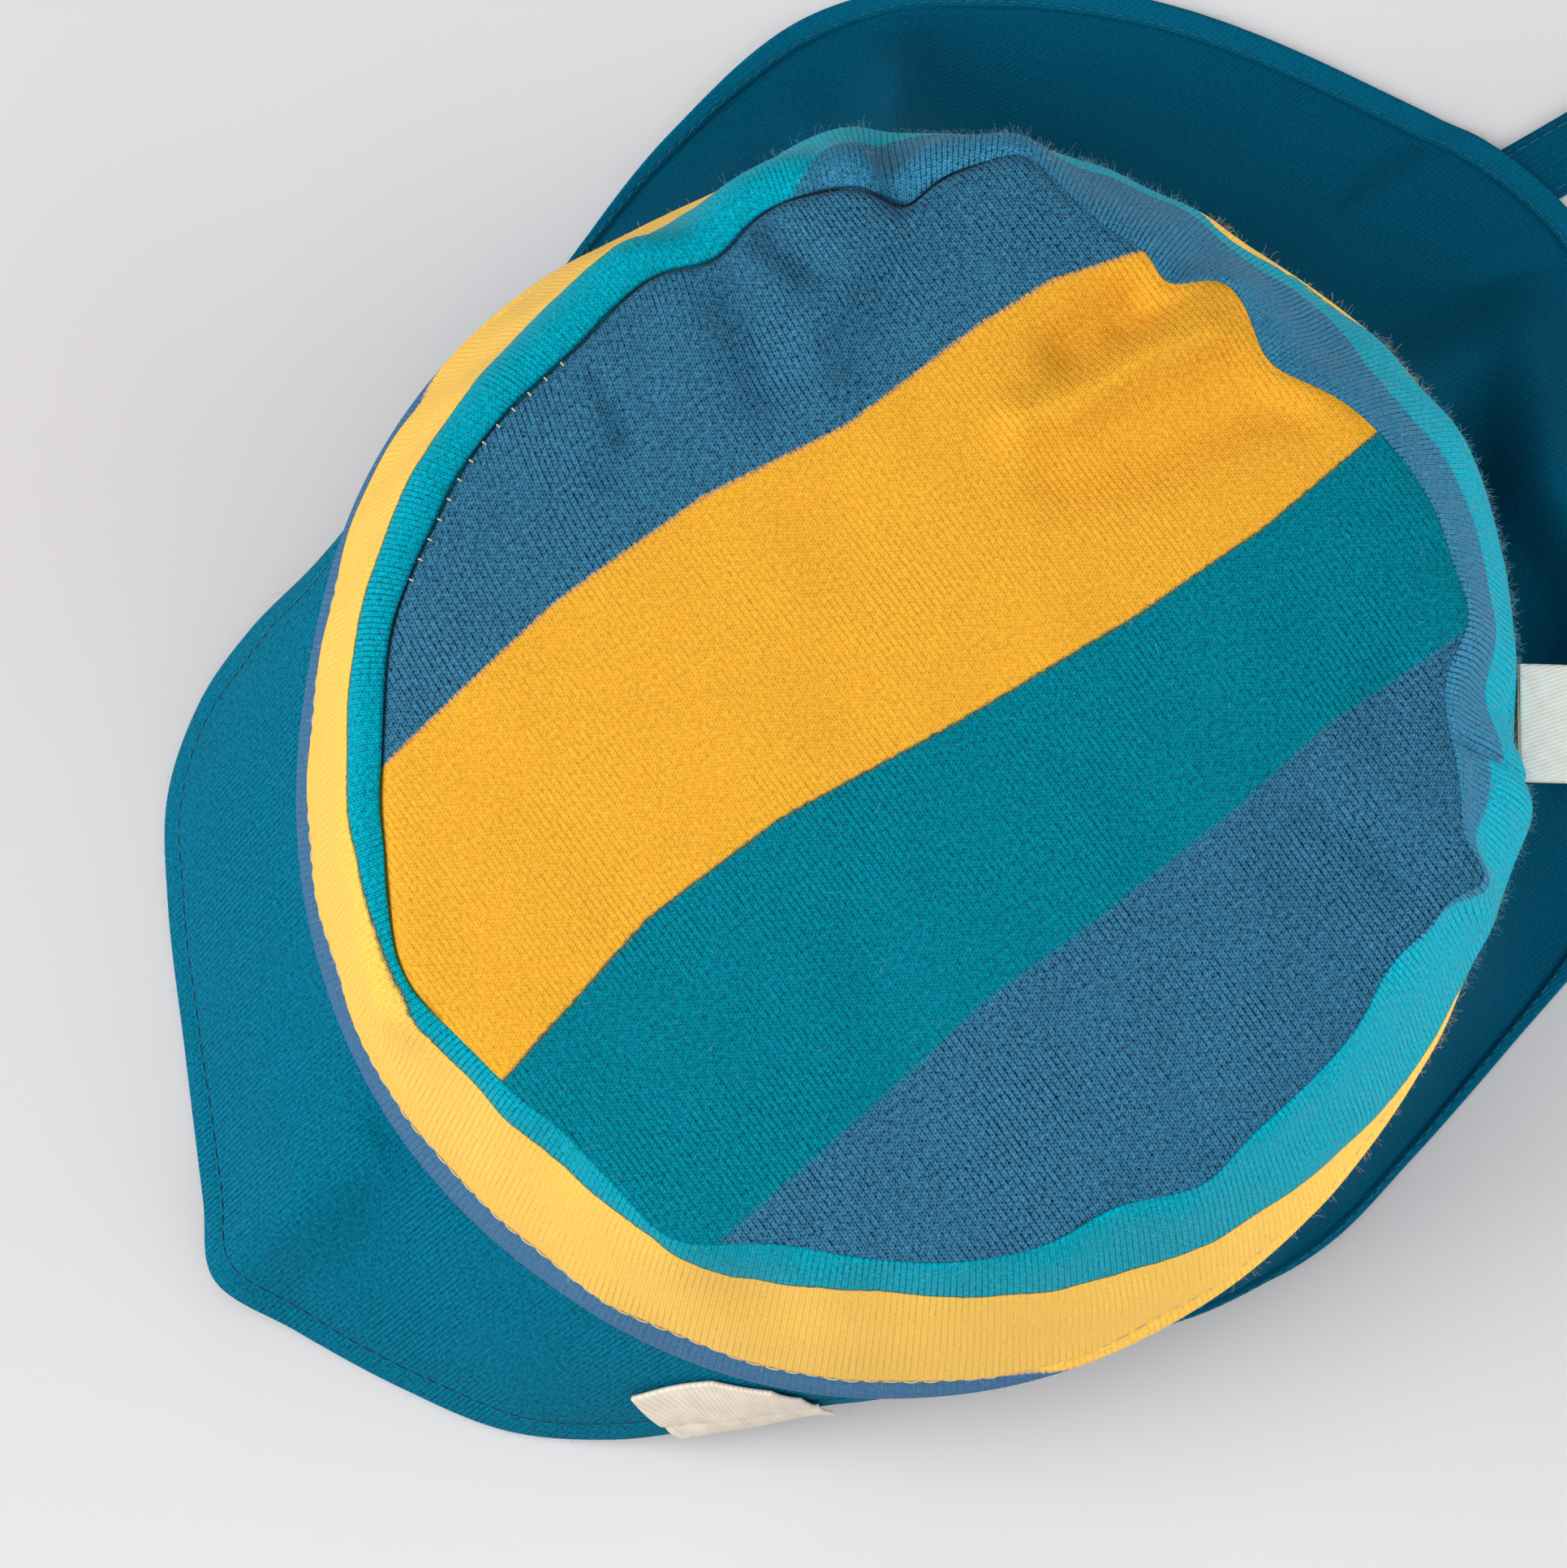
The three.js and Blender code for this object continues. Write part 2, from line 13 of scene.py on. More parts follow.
import bpy
import numpy as np
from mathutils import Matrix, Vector


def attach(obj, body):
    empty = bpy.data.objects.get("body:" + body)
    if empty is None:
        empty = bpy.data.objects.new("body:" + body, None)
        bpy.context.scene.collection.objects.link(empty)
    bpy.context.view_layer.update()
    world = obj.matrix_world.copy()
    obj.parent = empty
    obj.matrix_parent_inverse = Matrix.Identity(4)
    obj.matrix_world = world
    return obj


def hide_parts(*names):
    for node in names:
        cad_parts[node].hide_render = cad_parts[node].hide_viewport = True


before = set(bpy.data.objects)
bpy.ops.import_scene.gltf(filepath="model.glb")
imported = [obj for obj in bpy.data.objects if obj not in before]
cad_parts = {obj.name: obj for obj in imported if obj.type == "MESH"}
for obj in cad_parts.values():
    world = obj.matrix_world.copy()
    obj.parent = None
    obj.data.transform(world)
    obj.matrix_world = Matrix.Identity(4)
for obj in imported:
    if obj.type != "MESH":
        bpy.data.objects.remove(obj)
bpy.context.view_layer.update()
print("solids:", sorted(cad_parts))

# %% [markdown]
# ## Units, colours and nodes
#
# The tables below are in millimetres round the crown's own middle, and Blender works in metres from the
# middle of the whole hat's box, so one function moves points over. Colours are written as they look on a
# screen and turned to linear light by one function, and one small function adds a node with its settings
# and links.

# %% Millimetres, colours, nodes
SHIFT = np.array([3.0151329, -19.4131088, 0.0])


def metres(points):
    return (np.asarray(points, float) + SHIFT) / 1000


def linear(code):
    """Linear RGBA of an sRGB hex colour."""
    parts = [int(code[k : k + 2], 16) / 255 for k in (1, 3, 5)]
    return [c / 12.92 if c <= 0.04045 else ((c + 0.055) / 1.055) ** 2.4 for c in parts] + [1.0]


def add(tree, kind, links=None, **settings):
    """One node with its settings. A link may be a socket, a node for its first output, or a plain value."""
    node = tree.nodes.new(kind)
    for name, value in settings.items():
        setattr(node, name, value)
    for socket, source in (links or {}).items():
        if isinstance(source, bpy.types.Node):
            source = source.outputs[0]
        if isinstance(source, bpy.types.NodeSocket):
            tree.links.new(source, node.inputs[socket])
        else:
            node.inputs[socket].default_value = source
    return node


def show(name, data):
    """Puts an object with this data in the scene, at the origin and unturned."""
    shown = bpy.data.objects.new(name, data)
    bpy.context.scene.collection.objects.link(shown)
    return shown


def new_material(name, roughness, specular):
    """A material with the two values that every finish has, its node tree and its shader."""
    material = bpy.data.materials.new(name)
    material.use_nodes = True
    shader = material.node_tree.nodes["Principled BSDF"]
    shader.inputs["Roughness"].default_value = roughness
    shader.inputs["Specular IOR Level"].default_value = specular
    return material, material.node_tree, shader


print("origin of the tables, in metres:", metres([0, 0, 0]).round(5).tolist())

# %% [markdown]
# ## The camera
#
# The photograph looks down on the hat from its left front quarter, nearly from above, with a longish
# lens. The direction, distance and lens were worked out beforehand from how the rim, the seam and the
# peak line up.

# %% Camera
CAMERA_AZIMUTH = math.radians(54)
CAMERA_ELEVATION = math.radians(84)
CAMERA_TARGET = Vector((-0.00168, -0.03801, 0.036))
CAMERA_DISTANCE = 0.865
CAMERA_LENS = 150
CAMERA_SENSOR = 36

level = math.cos(CAMERA_ELEVATION)
in_plan = (math.sin(CAMERA_AZIMUTH) * level, -math.cos(CAMERA_AZIMUTH) * level)
back = Vector((*in_plan, math.sin(CAMERA_ELEVATION)))
camera = show("camera", bpy.data.cameras.new("camera"))
camera.data.lens = CAMERA_LENS
camera.data.sensor_width = CAMERA_SENSOR
camera.data.clip_start = 0.01
camera.location = CAMERA_TARGET + CAMERA_DISTANCE * back
camera.rotation_euler = back.to_track_quat("Z", "Y").to_euler()
bpy.context.scene.camera = camera
print("camera at", [round(c, 4) for c in camera.location])

# %% [markdown]
# ## Light and floor
#
# The hat lies on a plain pale table in a small studio: one wide softbox hangs over it, one stands on
# each long side and a weak one near the camera, and the pale room fills the shade. Their strengths were
# found by rendering the hat with each lamp alone and adding those pictures up until table and cloth had
# the photograph's tones.

# %% Light and floor
bpy.context.scene.view_settings.view_transform = "Standard"
SKY = "#f3f5fa"
SKY_STRENGTH = 0.19
FLOOR = 3.0
FLOOR_PAINT = "#e4e3e4"
# Each lamp: side that it stands on, distance, diameter, watts.
LAMPS = {
    "ceiling": ((-0.05, -0.17, 0.98), 2.2, 1.6, 22.0),
    "left softbox": ((-0.44, -0.79, 0.45), 2.2, 1.6, 31.0),
    "right softbox": ((0.53, 0.73, 0.42), 2.2, 1.6, 14.5),
    "near softbox": ((0.85, 0.05, 0.5), 2.2, 1.6, 9.0),
}

world = bpy.data.worlds.new("pale room")
world.use_nodes = True
sky = world.node_tree.nodes["Background"]
sky.inputs["Color"].default_value = linear(SKY)
sky.inputs["Strength"].default_value = SKY_STRENGTH
bpy.context.scene.world = world

for name, (side, distance, size, watts) in LAMPS.items():
    lamp = show(name, bpy.data.lights.new(name, "AREA"))
    lamp.data.shape = "DISK"
    lamp.data.size = size
    lamp.data.energy = watts
    lamp.location = Vector(side).normalized() * distance
    lamp.rotation_euler = Vector(side).to_track_quat("Z", "Y").to_euler()

floor_mesh = bpy.data.meshes.new("table_top")
floor_corners = [(x * FLOOR, y * FLOOR, 0) for x, y in ((-1, -1), (1, -1), (1, 1), (-1, 1))]
floor_mesh.from_pydata(floor_corners, [], [(0, 1, 2, 3)])
table_top = show("table_top", floor_mesh)
paint, _, painted = new_material("matt_painted_board", 0.8, 0.2)
painted.inputs["Base Color"].default_value = linear(FLOOR_PAINT)
floor_mesh.materials.append(paint)
print("lamps:", {name: row[3] for name, row in LAMPS.items()})

# %% [markdown]
# ## Smooth shapes from short tables
#
# The crown's plan is a table of radii by turn: the angle in degrees about the middle, 0 at the back, 90
# on the side of the small label and 180 in front. Between the rows a smooth curve is drawn, all the way
# round. Local things, such as a pucker or a fold, are bell-shaped bumps added on top. All of it works on
# whole arrays.

# %% Bumps, steps and curves
def between(a, b):
    """Smallest difference between two turns."""
    return (a - b + 180) % 360 - 180


def bump(distance, spread):
    return np.exp(-((distance / spread) ** 2))


def smoothstep(low, high, value):
    t = np.clip((value - low) / (high - low), 0, 1)
    return t * t * (3 - 2 * t)


def at(turn, radius, height):
    """Points at a turn, radius and height."""
    angle = np.radians(turn)
    return np.stack(np.broadcast_arrays(radius * np.sin(angle), radius * np.cos(angle), height), -1)


def around(turn, table, column):
    """A table's column as a smooth function of the turn, for rows at even steps all the way round."""
    values = np.array([row[column] for row in table])
    step = 360 / len(values)
    place = ((turn - table[0][0]) % 360) / step
    i = np.floor(place).astype(int)
    t = place - i
    a, b, c, d = (values[(i + k) % len(values)] for k in (-1, 0, 1, 2))
    return b + 0.5 * t * (c - a + t * (2 * a - 5 * b + 4 * c - d + t * (3 * (b - c) + d - a)))


def by_turn(turn, rows):
    """A table's value by turn, with straight lines between rows at any steps."""
    rows = sorted((row[0] % 360, row[1]) for row in rows)
    return np.interp(turn % 360, [r[0] for r in rows], [r[1] for r in rows], period=360)


def waves(seed, count, shortest, longest):
    """Gentle unevenness of about 1 by plan place: a sum of plane waves in fixed directions."""
    chance = np.random.default_rng(seed)
    length = chance.uniform(shortest, longest, count)
    angle = chance.uniform(0, 2 * math.pi, count)
    phase = chance.uniform(0, 2 * math.pi, count)

    def height(x, y):
        total = 0.0
        for size, turned, start in zip(length, angle, phase):
            total = total + np.sin(2 * math.pi * (x * math.cos(turned) + y * math.sin(turned)) / size + start)
        return total / math.sqrt(count)

    return height


# Plan of the crown: turn, radius of its lower edge, of the seam, puff of the band over the seam, and how far
# the lower edge stands out under the topstitching.
CROWN = [
    (-160, 84.2, 69.0, 2.6, 1.6), (-140, 81.2, 63.3, 3.0, 1.3), (-120, 80.4, 61.8, 3.0, 1.0),
    (-100, 78.6, 58.3, 2.8, 0.7), (-80, 75.6, 60.8, 2.4, 0.5), (-60, 76.2, 59.7, 1.6, 0.2),
    (-40, 77.2, 62.1, 0.6, 0.0), (-20, 77.0, 60.9, 0.0, 0.0), (0, 79.4, 60.5, 0.0, 0.0),
    (20, 79.6, 64.9, 0.2, 0.0), (40, 78.0, 64.5, 0.4, 0.0), (60, 78.8, 69.2, 0.2, 0.0),
    (80, 81.0, 68.4, 0.0, 0.4), (100, 84.6, 69.8, 0.0, 0.9), (120, 87.6, 72.4, 0.0, 1.4),
    (140, 88.8, 72.3, 0.0, 1.7), (160, 87.9, 72.9, 0.4, 1.8), (180, 86.8, 71.8, 1.6, 1.8),
]
FOOT, SEAM, PUFF, STEP = 1, 2, 3, 4

# Puckers of the seam (turn, shift outwards, spread in degrees) and bulges of the wall below it.
PUCKERS = [
    (-174, 2.5, 7.3), (-139, 2.3, 9.8), (-81, -4.1, 6.3), (-57, -3.2, 3.5), (-44, 2.6, 5.0),
    (-30, -3.3, 8.6), (-22, -3.6, 3.7), (-6, -3.9, 6.8), (31, 2.2, 4.7), (38, -1.6, 8.2),
    (57, 3.5, 2.4), (69, -2.1, 5.7), (98, 1.6, 4.6), (108, -1.2, 4.6), (150, 3.6, 6.2),
    (165, -0.8, 4.4),
]
BULGES = [(45, 3.4, 5), (51, 1.6, 6), (36, -1.2, 3), (-12, -1.6, 6)]
UPPER_BULGES = [(-61, 3.3, 9), (-18, -1.4, 4.5), (10, 2.6, 7.5)]

BASE_HEIGHT = 41.0
SEAM_HEIGHT = 103.5
LEAN = 0.048  # rise of the crown per millimetre towards the back
WALL_CURVE = 1.4
SEAM_DIP = 1.2
# How open the groove is: deep where the band rolls over it, closed where the seam allowance lies flat.
GROOVE_OPEN = [
    (-180, 0.45), (-176, 1.0), (-100, 1.05), (-62, 1.2), (-55, 1.1), (-46, 0.6), (-38, 0.16),
    (40, 0.10), (90, 0.12), (150, 0.10), (172, 0.2),
]
TUCK = 1.3


def bumps(turn, rows):
    """The sum of bumps at turns. Rows: turn, size, spread in degrees."""
    return sum(size * bump(between(turn, middle), spread) for middle, size, spread in rows)


def seam_radius(turn):
    return around(turn, CROWN, SEAM) + bumps(turn, PUCKERS) + TUCK * by_turn(turn, GROOVE_OPEN)


all_round = seam_radius(np.arange(360.0))
print("seam radius from", all_round.min().round(1), "to", all_round.max().round(1))

# %% [markdown]
# ## Ease in the seam
#
# Where the band is sewn to the tip, one edge is a little longer than the other, so the cloth ripples
# across the seam. The same ripple runs through both pieces and dies out a centimetre away. It is strong
# over the small label's side and nearly absent on the far side, where the band rolls over the seam as a
# smooth tube. The seam itself is a narrow groove: the two edges turn down into the hat and press
# together.

# %% Ripples and the groove
RIPPLES = [(17, 0.30, 0.4), (23, 0.26, 1.9), (31, 0.24, 4.4), (41, 0.20, 0.7), (53, 0.12, 3.1)]
RIPPLE_STRENGTH = [
    (-175, 0.5), (-150, 0.2), (-100, 0.2), (-70, 0.3), (-20, 0.5), (30, 0.5), (80, 0.7), (110, 0.9),
    (150, 0.7),
]
GROOVE_DEPTH = 2.6
GROOVE_REACH = 0.85
ROLL_OVER = 0.95
SHOULDER = 2.6


def ripple(turn, away):
    """Height of the ripple at a turn, away millimetres from the seam."""
    angle = np.radians(turn)
    total = sum(size * np.sin(count * angle + start) for count, size, start in RIPPLES)
    return total * by_turn(turn, RIPPLE_STRENGTH) * bump(away, 8)


def groove(turn, away):
    """How far the cloth turns down towards the seam: a wide dip and a narrow groove in it."""
    opened = by_turn(turn, GROOVE_OPEN)
    dip = (0.25 + 0.35 * opened) * SEAM_DIP * bump(away, 2.2)
    return opened * GROOVE_DEPTH * bump(away, GROOVE_REACH) + dip


print("deepest groove", round(float(groove(np.arange(360.0), 0.0).max()), 2), "mm")

# %% [markdown]
# ## Cloth with a thickness
#
# Solidify could give each sheet its wall, but its rim is square, and the edges of cloth are soft. So a
# wall is built as rings: the rows of the outer face from the seam to the free edge, a half circle round
# that edge, and the rows of the inner face back again. Each corner of a face also carries where it lies
# on the cloth: millimetres across the knit's ribs, along them, and over the stripes. Corners, not
# points, carry it, so it can jump where a strip is joined.

# %% Build a wall of cloth
def unit(vectors):
    return vectors / np.maximum(np.linalg.norm(vectors, axis=-1, keepdims=True), 1e-9)


def face_normals(points, wraps):
    """Normals of a grid of points: columns along the seam, rows from the seam down."""
    if wraps:
        along = np.roll(points, -1, 0) - np.roll(points, 1, 0)
    else:
        along = np.gradient(points, axis=0)
    return unit(np.cross(along, np.gradient(points, axis=1)))


def skin(cloth, columns, places, spans, rounds):
    """Faces of a grid that may close on itself, and where each of their corners lies on the cloth."""
    i, k = np.arange(spans)[:, None], np.arange(rounds)[None, :]
    corners = [(i, k), (i + 1, k), (i + 1, k + 1), (i, k + 1)]
    faces = np.stack([(a % columns) * places + b % places + 0 * i + 0 * k for a, b in corners], -1)
    lies = np.stack([cloth[a + 0 * k, b % places + 0 * i] for a, b in corners], 2)
    return faces.reshape(-1, 4).tolist(), list(lies.reshape(-1, 4, 3))


def smooth_piece(name, mesh):
    mesh.polygons.foreach_set("use_smooth", [True] * len(mesh.polygons))
    mesh.update()
    return show(name, mesh)


def cloth_mesh(name, points, faces, lies):
    mesh = bpy.data.meshes.new(name)
    mesh.from_pydata(metres(points).tolist(), [], faces)
    place = mesh.attributes.new("cloth", "FLOAT_VECTOR", "CORNER")
    place.data.foreach_set("vector", np.concatenate(lies).astype(np.float32).ravel())
    return mesh


def ring_mesh(name, rings, cloth, wraps, shown, caps=0, centred=False, hair=1.0):
    """A closed mesh from rings (columns, places round the wall, 3). cloth has a column more where it wraps,
    and the first shown places are the face that shows."""
    columns, places = rings.shape[:2]
    points = rings.reshape(-1, 3)
    spans, rounds = (columns if wraps else columns - 1), (places - 1 if centred else places)
    faces, lies = skin(cloth, columns, places, spans, rounds)
    if centred:
        first, last = len(points), len(points) + 1
        middles = [rings[:, k].mean(0, keepdims=True) for k in (0, -1)]
        points = np.concatenate([points, *middles])
        for c in range(columns):
            d = (c + 1) % columns
            faces.append([first, d * places, c * places])
            lies.append(np.stack([cloth[:, 0].mean(0), cloth[c + 1, 0], cloth[c, 0]]))
            faces.append([last, c * places + places - 1, d * places + places - 1])
            lies.append(np.stack([cloth[:, -1].mean(0), cloth[c, -1], cloth[c + 1, -1]]))
    for c, turned in ((0, False), (columns - 1, True)) if caps else ():
        strip = [[row, row + 1, places - 2 - row, places - 1 - row] for row in range(caps - 1)]
        for face in strip + [list(range(caps - 1, places - caps + 1))]:
            face = face[::-1] if turned else face
            faces.append([c * places + q for q in face])
            lies.append(np.stack([cloth[c, q] for q in face]))
    mesh = cloth_mesh(name, points, faces, lies)
    # Where the cloth grows fuzz. On the band the same values also paint it paler: painted sheen.
    fuzz_and_sheen = np.zeros(len(points), np.float32)
    fuzz_and_sheen[: columns * places].reshape(columns, places)[:, :shown] = hair
    mesh.attributes.new("fuzz_and_sheen", "FLOAT", "POINT").data.foreach_set("value", fuzz_and_sheen)
    return smooth_piece(name, mesh)


RIM_STEPS = 7


def cloth_wall(outer, inner, thickness):
    """Rings from an outer and an inner face that both end short of the free edge by half the thickness."""
    edge, under = outer[:, -1], inner[:, -1]
    onward = unit(edge - outer[:, -2])
    middle = (edge + under) / 2
    arm = (edge - under) / 2
    turns = np.linspace(0, math.pi, RIM_STEPS + 2)[1:-1]
    rim = [middle + arm * math.cos(t) + onward * math.sin(t) * thickness / 2 for t in turns]
    return np.concatenate([outer, np.stack(rim, 1), inner[:, ::-1]], 1)


def stretches(*rows):
    """Places from 0 to 1. Rows: from, to, and how many places with both ends."""
    return np.concatenate([np.linspace(*row)[:-1] for row in rows[:-1]] + [np.linspace(*rows[-1])])


def lying(u, v, s, outer_rows, places):
    """The cloth coordinates of the outer face, carried on round the rim and back along the inner face."""
    grid = np.stack(np.broadcast_arrays(u, v, s), -1).astype(float)
    rim = np.repeat(grid[:, -1:], places - 2 * outer_rows, 1)
    return np.concatenate([grid, rim, grid[:, ::-1]], 1)


def area_of(piece):
    """Area of one face of a piece of cloth, in square metres."""
    return sum(p.area for p in piece.data.polygons) / 2


def measure(name, piece):
    print(name + ":", len(piece.data.polygons), "faces,", round(area_of(piece), 5), "square metres")


print("rims have", RIM_STEPS, "steps")

# %% [markdown]
# ## Yarn-dyed jersey
#
# Jersey is knitted cotton: ribs of interlocked V loops, called wales, run up the cloth, four to every
# three millimetres. Its face is dull and a little hairy, which a rough surface with some sheen gives.
# The loops are drawn from the cloth coordinates at their real size: two rounded legs for each rib, a gap
# to the next rib, a slanting wave for the V of the loops, and a fine blotchy noise because dyed cotton
# yarn is never even. The stripes are rows of another yarn, so they change at a row, a little ragged, and
# they are a ramp over the third cloth coordinate: 0 where blue turns to teal, 40 where teal turns to
# yellow, 80 where yellow turns to blue.

# %% The knitted structure as a node group
RIB = 0.77
PLAIN_RIB = 0.68
COURSE = 0.52


def knit_group():
    tree = bpy.data.node_groups.new("jersey_knit", "ShaderNodeTree")
    tree.interface.new_socket("Cloth", in_out="INPUT", socket_type="NodeSocketVector")
    for name in ("Height", "Shade", "Ragged"):
        tree.interface.new_socket(name, in_out="OUTPUT", socket_type="NodeSocketFloat")
    given = add(tree, "NodeGroupInput")
    split = add(tree, "ShaderNodeSeparateXYZ", {0: given.outputs["Cloth"]})
    flat = add(tree, "ShaderNodeCombineXYZ", {0: split.outputs[0], 1: split.outputs[1], 2: 0.0})

    yarn = add(tree, "ShaderNodeTexNoise", {"Vector": flat, "Scale": 1.7, "Detail": 3.0})
    wander = {0: yarn.outputs["Fac"], 1: 0.25, 2: split.outputs[0]}
    across = add(tree, "ShaderNodeMath", wander, operation="MULTIPLY_ADD")
    ribs = add(tree, "ShaderNodeMath", {0: across, 1: RIB}, operation="DIVIDE")
    part = add(tree, "ShaderNodeMath", {0: ribs}, operation="FRACT")
    off = add(tree, "ShaderNodeMath", {0: part, 1: 0.5}, operation="SUBTRACT")
    half = add(tree, "ShaderNodeMath", {0: off}, operation="ABSOLUTE")
    side = add(tree, "ShaderNodeMath", {0: half, 1: 2.0}, operation="MULTIPLY")

    # side is 0 between a rib's two legs and 1 in the gap to the next rib. The gap's depth varies by place.
    turned = add(tree, "ShaderNodeMath", {0: side, 1: math.pi}, operation="MULTIPLY")
    swell = add(tree, "ShaderNodeMath", {0: turned}, operation="COSINE")
    loose = add(tree, "ShaderNodeTexNoise", {"Vector": flat, "Scale": 0.05, "Detail": 2.0})
    ranges = {"From Min": 0.35, "From Max": 0.65, "To Min": 0.03, "To Max": 0.28}
    gap_depth = add(tree, "ShaderNodeMapRange", {"Value": loose.outputs["Fac"], **ranges})
    legs = add(tree, "ShaderNodeMath", {0: swell, 1: -0.4, 2: gap_depth}, operation="MULTIPLY_ADD")
    profile = add(tree, "ShaderNodeMath", {0: swell, 1: legs, 2: 0.7}, operation="MULTIPLY_ADD")

    # The loops' V: the wave along the rib comes later the further it is from the rib's middle.
    courses = add(tree, "ShaderNodeMath", {0: split.outputs[1], 1: 1 / COURSE}, operation="MULTIPLY")
    slant = add(tree, "ShaderNodeMath", {0: side, 1: 0.9, 2: courses}, operation="MULTIPLY_ADD")
    angle = add(tree, "ShaderNodeMath", {0: slant, 1: 2 * math.pi}, operation="MULTIPLY")
    wave = add(tree, "ShaderNodeMath", {0: angle}, operation="COSINE")
    loops = add(tree, "ShaderNodeMath", {0: wave, 1: 0.34, 2: 0.66}, operation="MULTIPLY_ADD")
    height = add(tree, "ShaderNodeMath", {0: profile, 1: loops}, operation="MULTIPLY")

    # The yarn's blotches are half a millimetre wide, the dye's a centimetre, and slubs lie along the ribs.
    dye = add(tree, "ShaderNodeTexNoise", {"Vector": flat, "Scale": 0.11, "Detail": 2.0})
    stretched = add(tree, "ShaderNodeVectorMath", {0: flat, 1: (1.9, 0.25, 1.0)}, operation="MULTIPLY")
    slub = add(tree, "ShaderNodeTexNoise", {"Vector": stretched, "Scale": 1.0, "Detail": 2.0})
    # Shade is painted shade in the gaps, darker where the loops are low, plus the yarn's, dye's and slubs'
    # own uneven tone.
    gap = add(tree, "ShaderNodeMath", {0: height, 1: 4.0, 2: -4.0}, operation="MULTIPLY_ADD")
    first = add(tree, "ShaderNodeMath", {0: yarn.outputs["Fac"], 1: 4.6, 2: gap}, operation="MULTIPLY_ADD")
    second = add(tree, "ShaderNodeMath", {0: dye.outputs["Fac"], 1: 0.35, 2: first}, operation="MULTIPLY_ADD")
    shade = add(tree, "ShaderNodeMath", {0: slub.outputs["Fac"], 1: 0.7, 2: second}, operation="MULTIPLY_ADD")

    # A stripe's edge follows the loops, so it is ragged by a fraction of a millimetre.
    rough = add(tree, "ShaderNodeTexNoise", {"Vector": flat, "Scale": 1.1, "Detail": 2.0})
    fraction = {0: rough.outputs["Fac"], 1: 0.6, 2: -0.35}
    ragged = add(tree, "ShaderNodeMath", fraction, operation="MULTIPLY_ADD")
    zigzag = add(tree, "ShaderNodeMath", {0: side, 1: 0.1, 2: ragged}, operation="MULTIPLY_ADD")
    add(tree, "NodeGroupOutput", {"Height": height, "Shade": shade, "Ragged": zigzag})
    return tree


knit = knit_group()
print("knit group has", len(knit.nodes), "nodes")

# %% [markdown]
# ## Two finishes of the same jersey
#
# The crown's jersey is striped and the peak, flap and ties are cut from plain petrol blue. Both take the
# same knit group, so only the colour under it differs. The bump is small: the loops stand a tenth of a
# millimetre. The gaps between the loops also get painted shade, and it shows more on some dyes, so each
# colour has its own depth for it.

# %% Jersey materials
# The band's colours are the tip's painted paler: painted light and sheen, for the brighter light on its steep
# walls.
TIP_COLOURS = ("#2f6685", "#00778a", "#eeab32", "#2f6683")
BAND_COLOURS_PAINTED_PALER = ("#2c6d8c", "#0097ac", "#fdca5c", "#456f94")
# How deep the painted shade in the gaps between the loops is, for each colour: dark yarn shows it most.
TIP_DEPTHS = (0.62, 0.38, 0.2, 0.62)
BAND_DEPTHS = (0.6, 0.4, 0.15, 0.15)
SHOW_THROUGH = "#3c5f4c"
DARKEST = 0.12  # of the yarn's colour, in the deepest gap
LOOP_RELIEF = 0.00012
STRIPES_FROM = -20.0
STRIPES_SPAN = 120.0


def jersey(name, colour_from, sheen_tint="#ffffff", painted_sheen=0.0):
    """Knit over a colour: painted shade in the gaps between loops, bump, a dull fuzzy surface. The last
    argument is how much paler the cloth is painted where the mesh is marked for fuzz: painted sheen."""
    material, tree, shader = new_material(name, 0.92, 0.06)
    place = add(tree, "ShaderNodeAttribute", attribute_name="cloth")
    loops = add(tree, "ShaderNodeGroup", node_tree=knit)
    tree.links.new(place.outputs["Vector"], loops.inputs["Cloth"])
    colour, depth = colour_from(tree, place, loops)
    # The painted shade in the gaps between the loops darkens the yarn's colour.
    gaps = {0: loops.outputs["Shade"], 1: depth, 2: 1.0}
    factor = add(tree, "ShaderNodeMath", gaps, operation="MULTIPLY_ADD")
    floored = add(tree, "ShaderNodeMath", {0: factor, 1: DARKEST}, operation="MAXIMUM")
    # Painted sheen: where the mesh is marked for fuzz, the band's colour is painted paler.
    if painted_sheen:
        sheen_mask = add(tree, "ShaderNodeAttribute", attribute_name="fuzz_and_sheen")
        more = {0: sheen_mask.outputs["Fac"], 1: painted_sheen, 2: 1.0}
        paler = add(tree, "ShaderNodeMath", more, operation="MULTIPLY_ADD")
        floored = add(tree, "ShaderNodeMath", {0: floored, 1: paler}, operation="MULTIPLY")
    shaded = add(tree, "ShaderNodeVectorMath", {0: colour, 1: floored}, operation="MULTIPLY")
    tree.links.new(shaded.outputs[0], shader.inputs["Base Color"])
    height = {"Height": loops.outputs["Height"], "Strength": 0.8, "Distance": LOOP_RELIEF}
    relief = add(tree, "ShaderNodeBump", height)
    tree.links.new(relief.outputs["Normal"], shader.inputs["Normal"])
    shader.inputs["Sheen Weight"].default_value = 0.05
    shader.inputs["Sheen Roughness"].default_value = 0.3
    shader.inputs["Sheen Tint"].default_value = linear(sheen_tint)
    return material


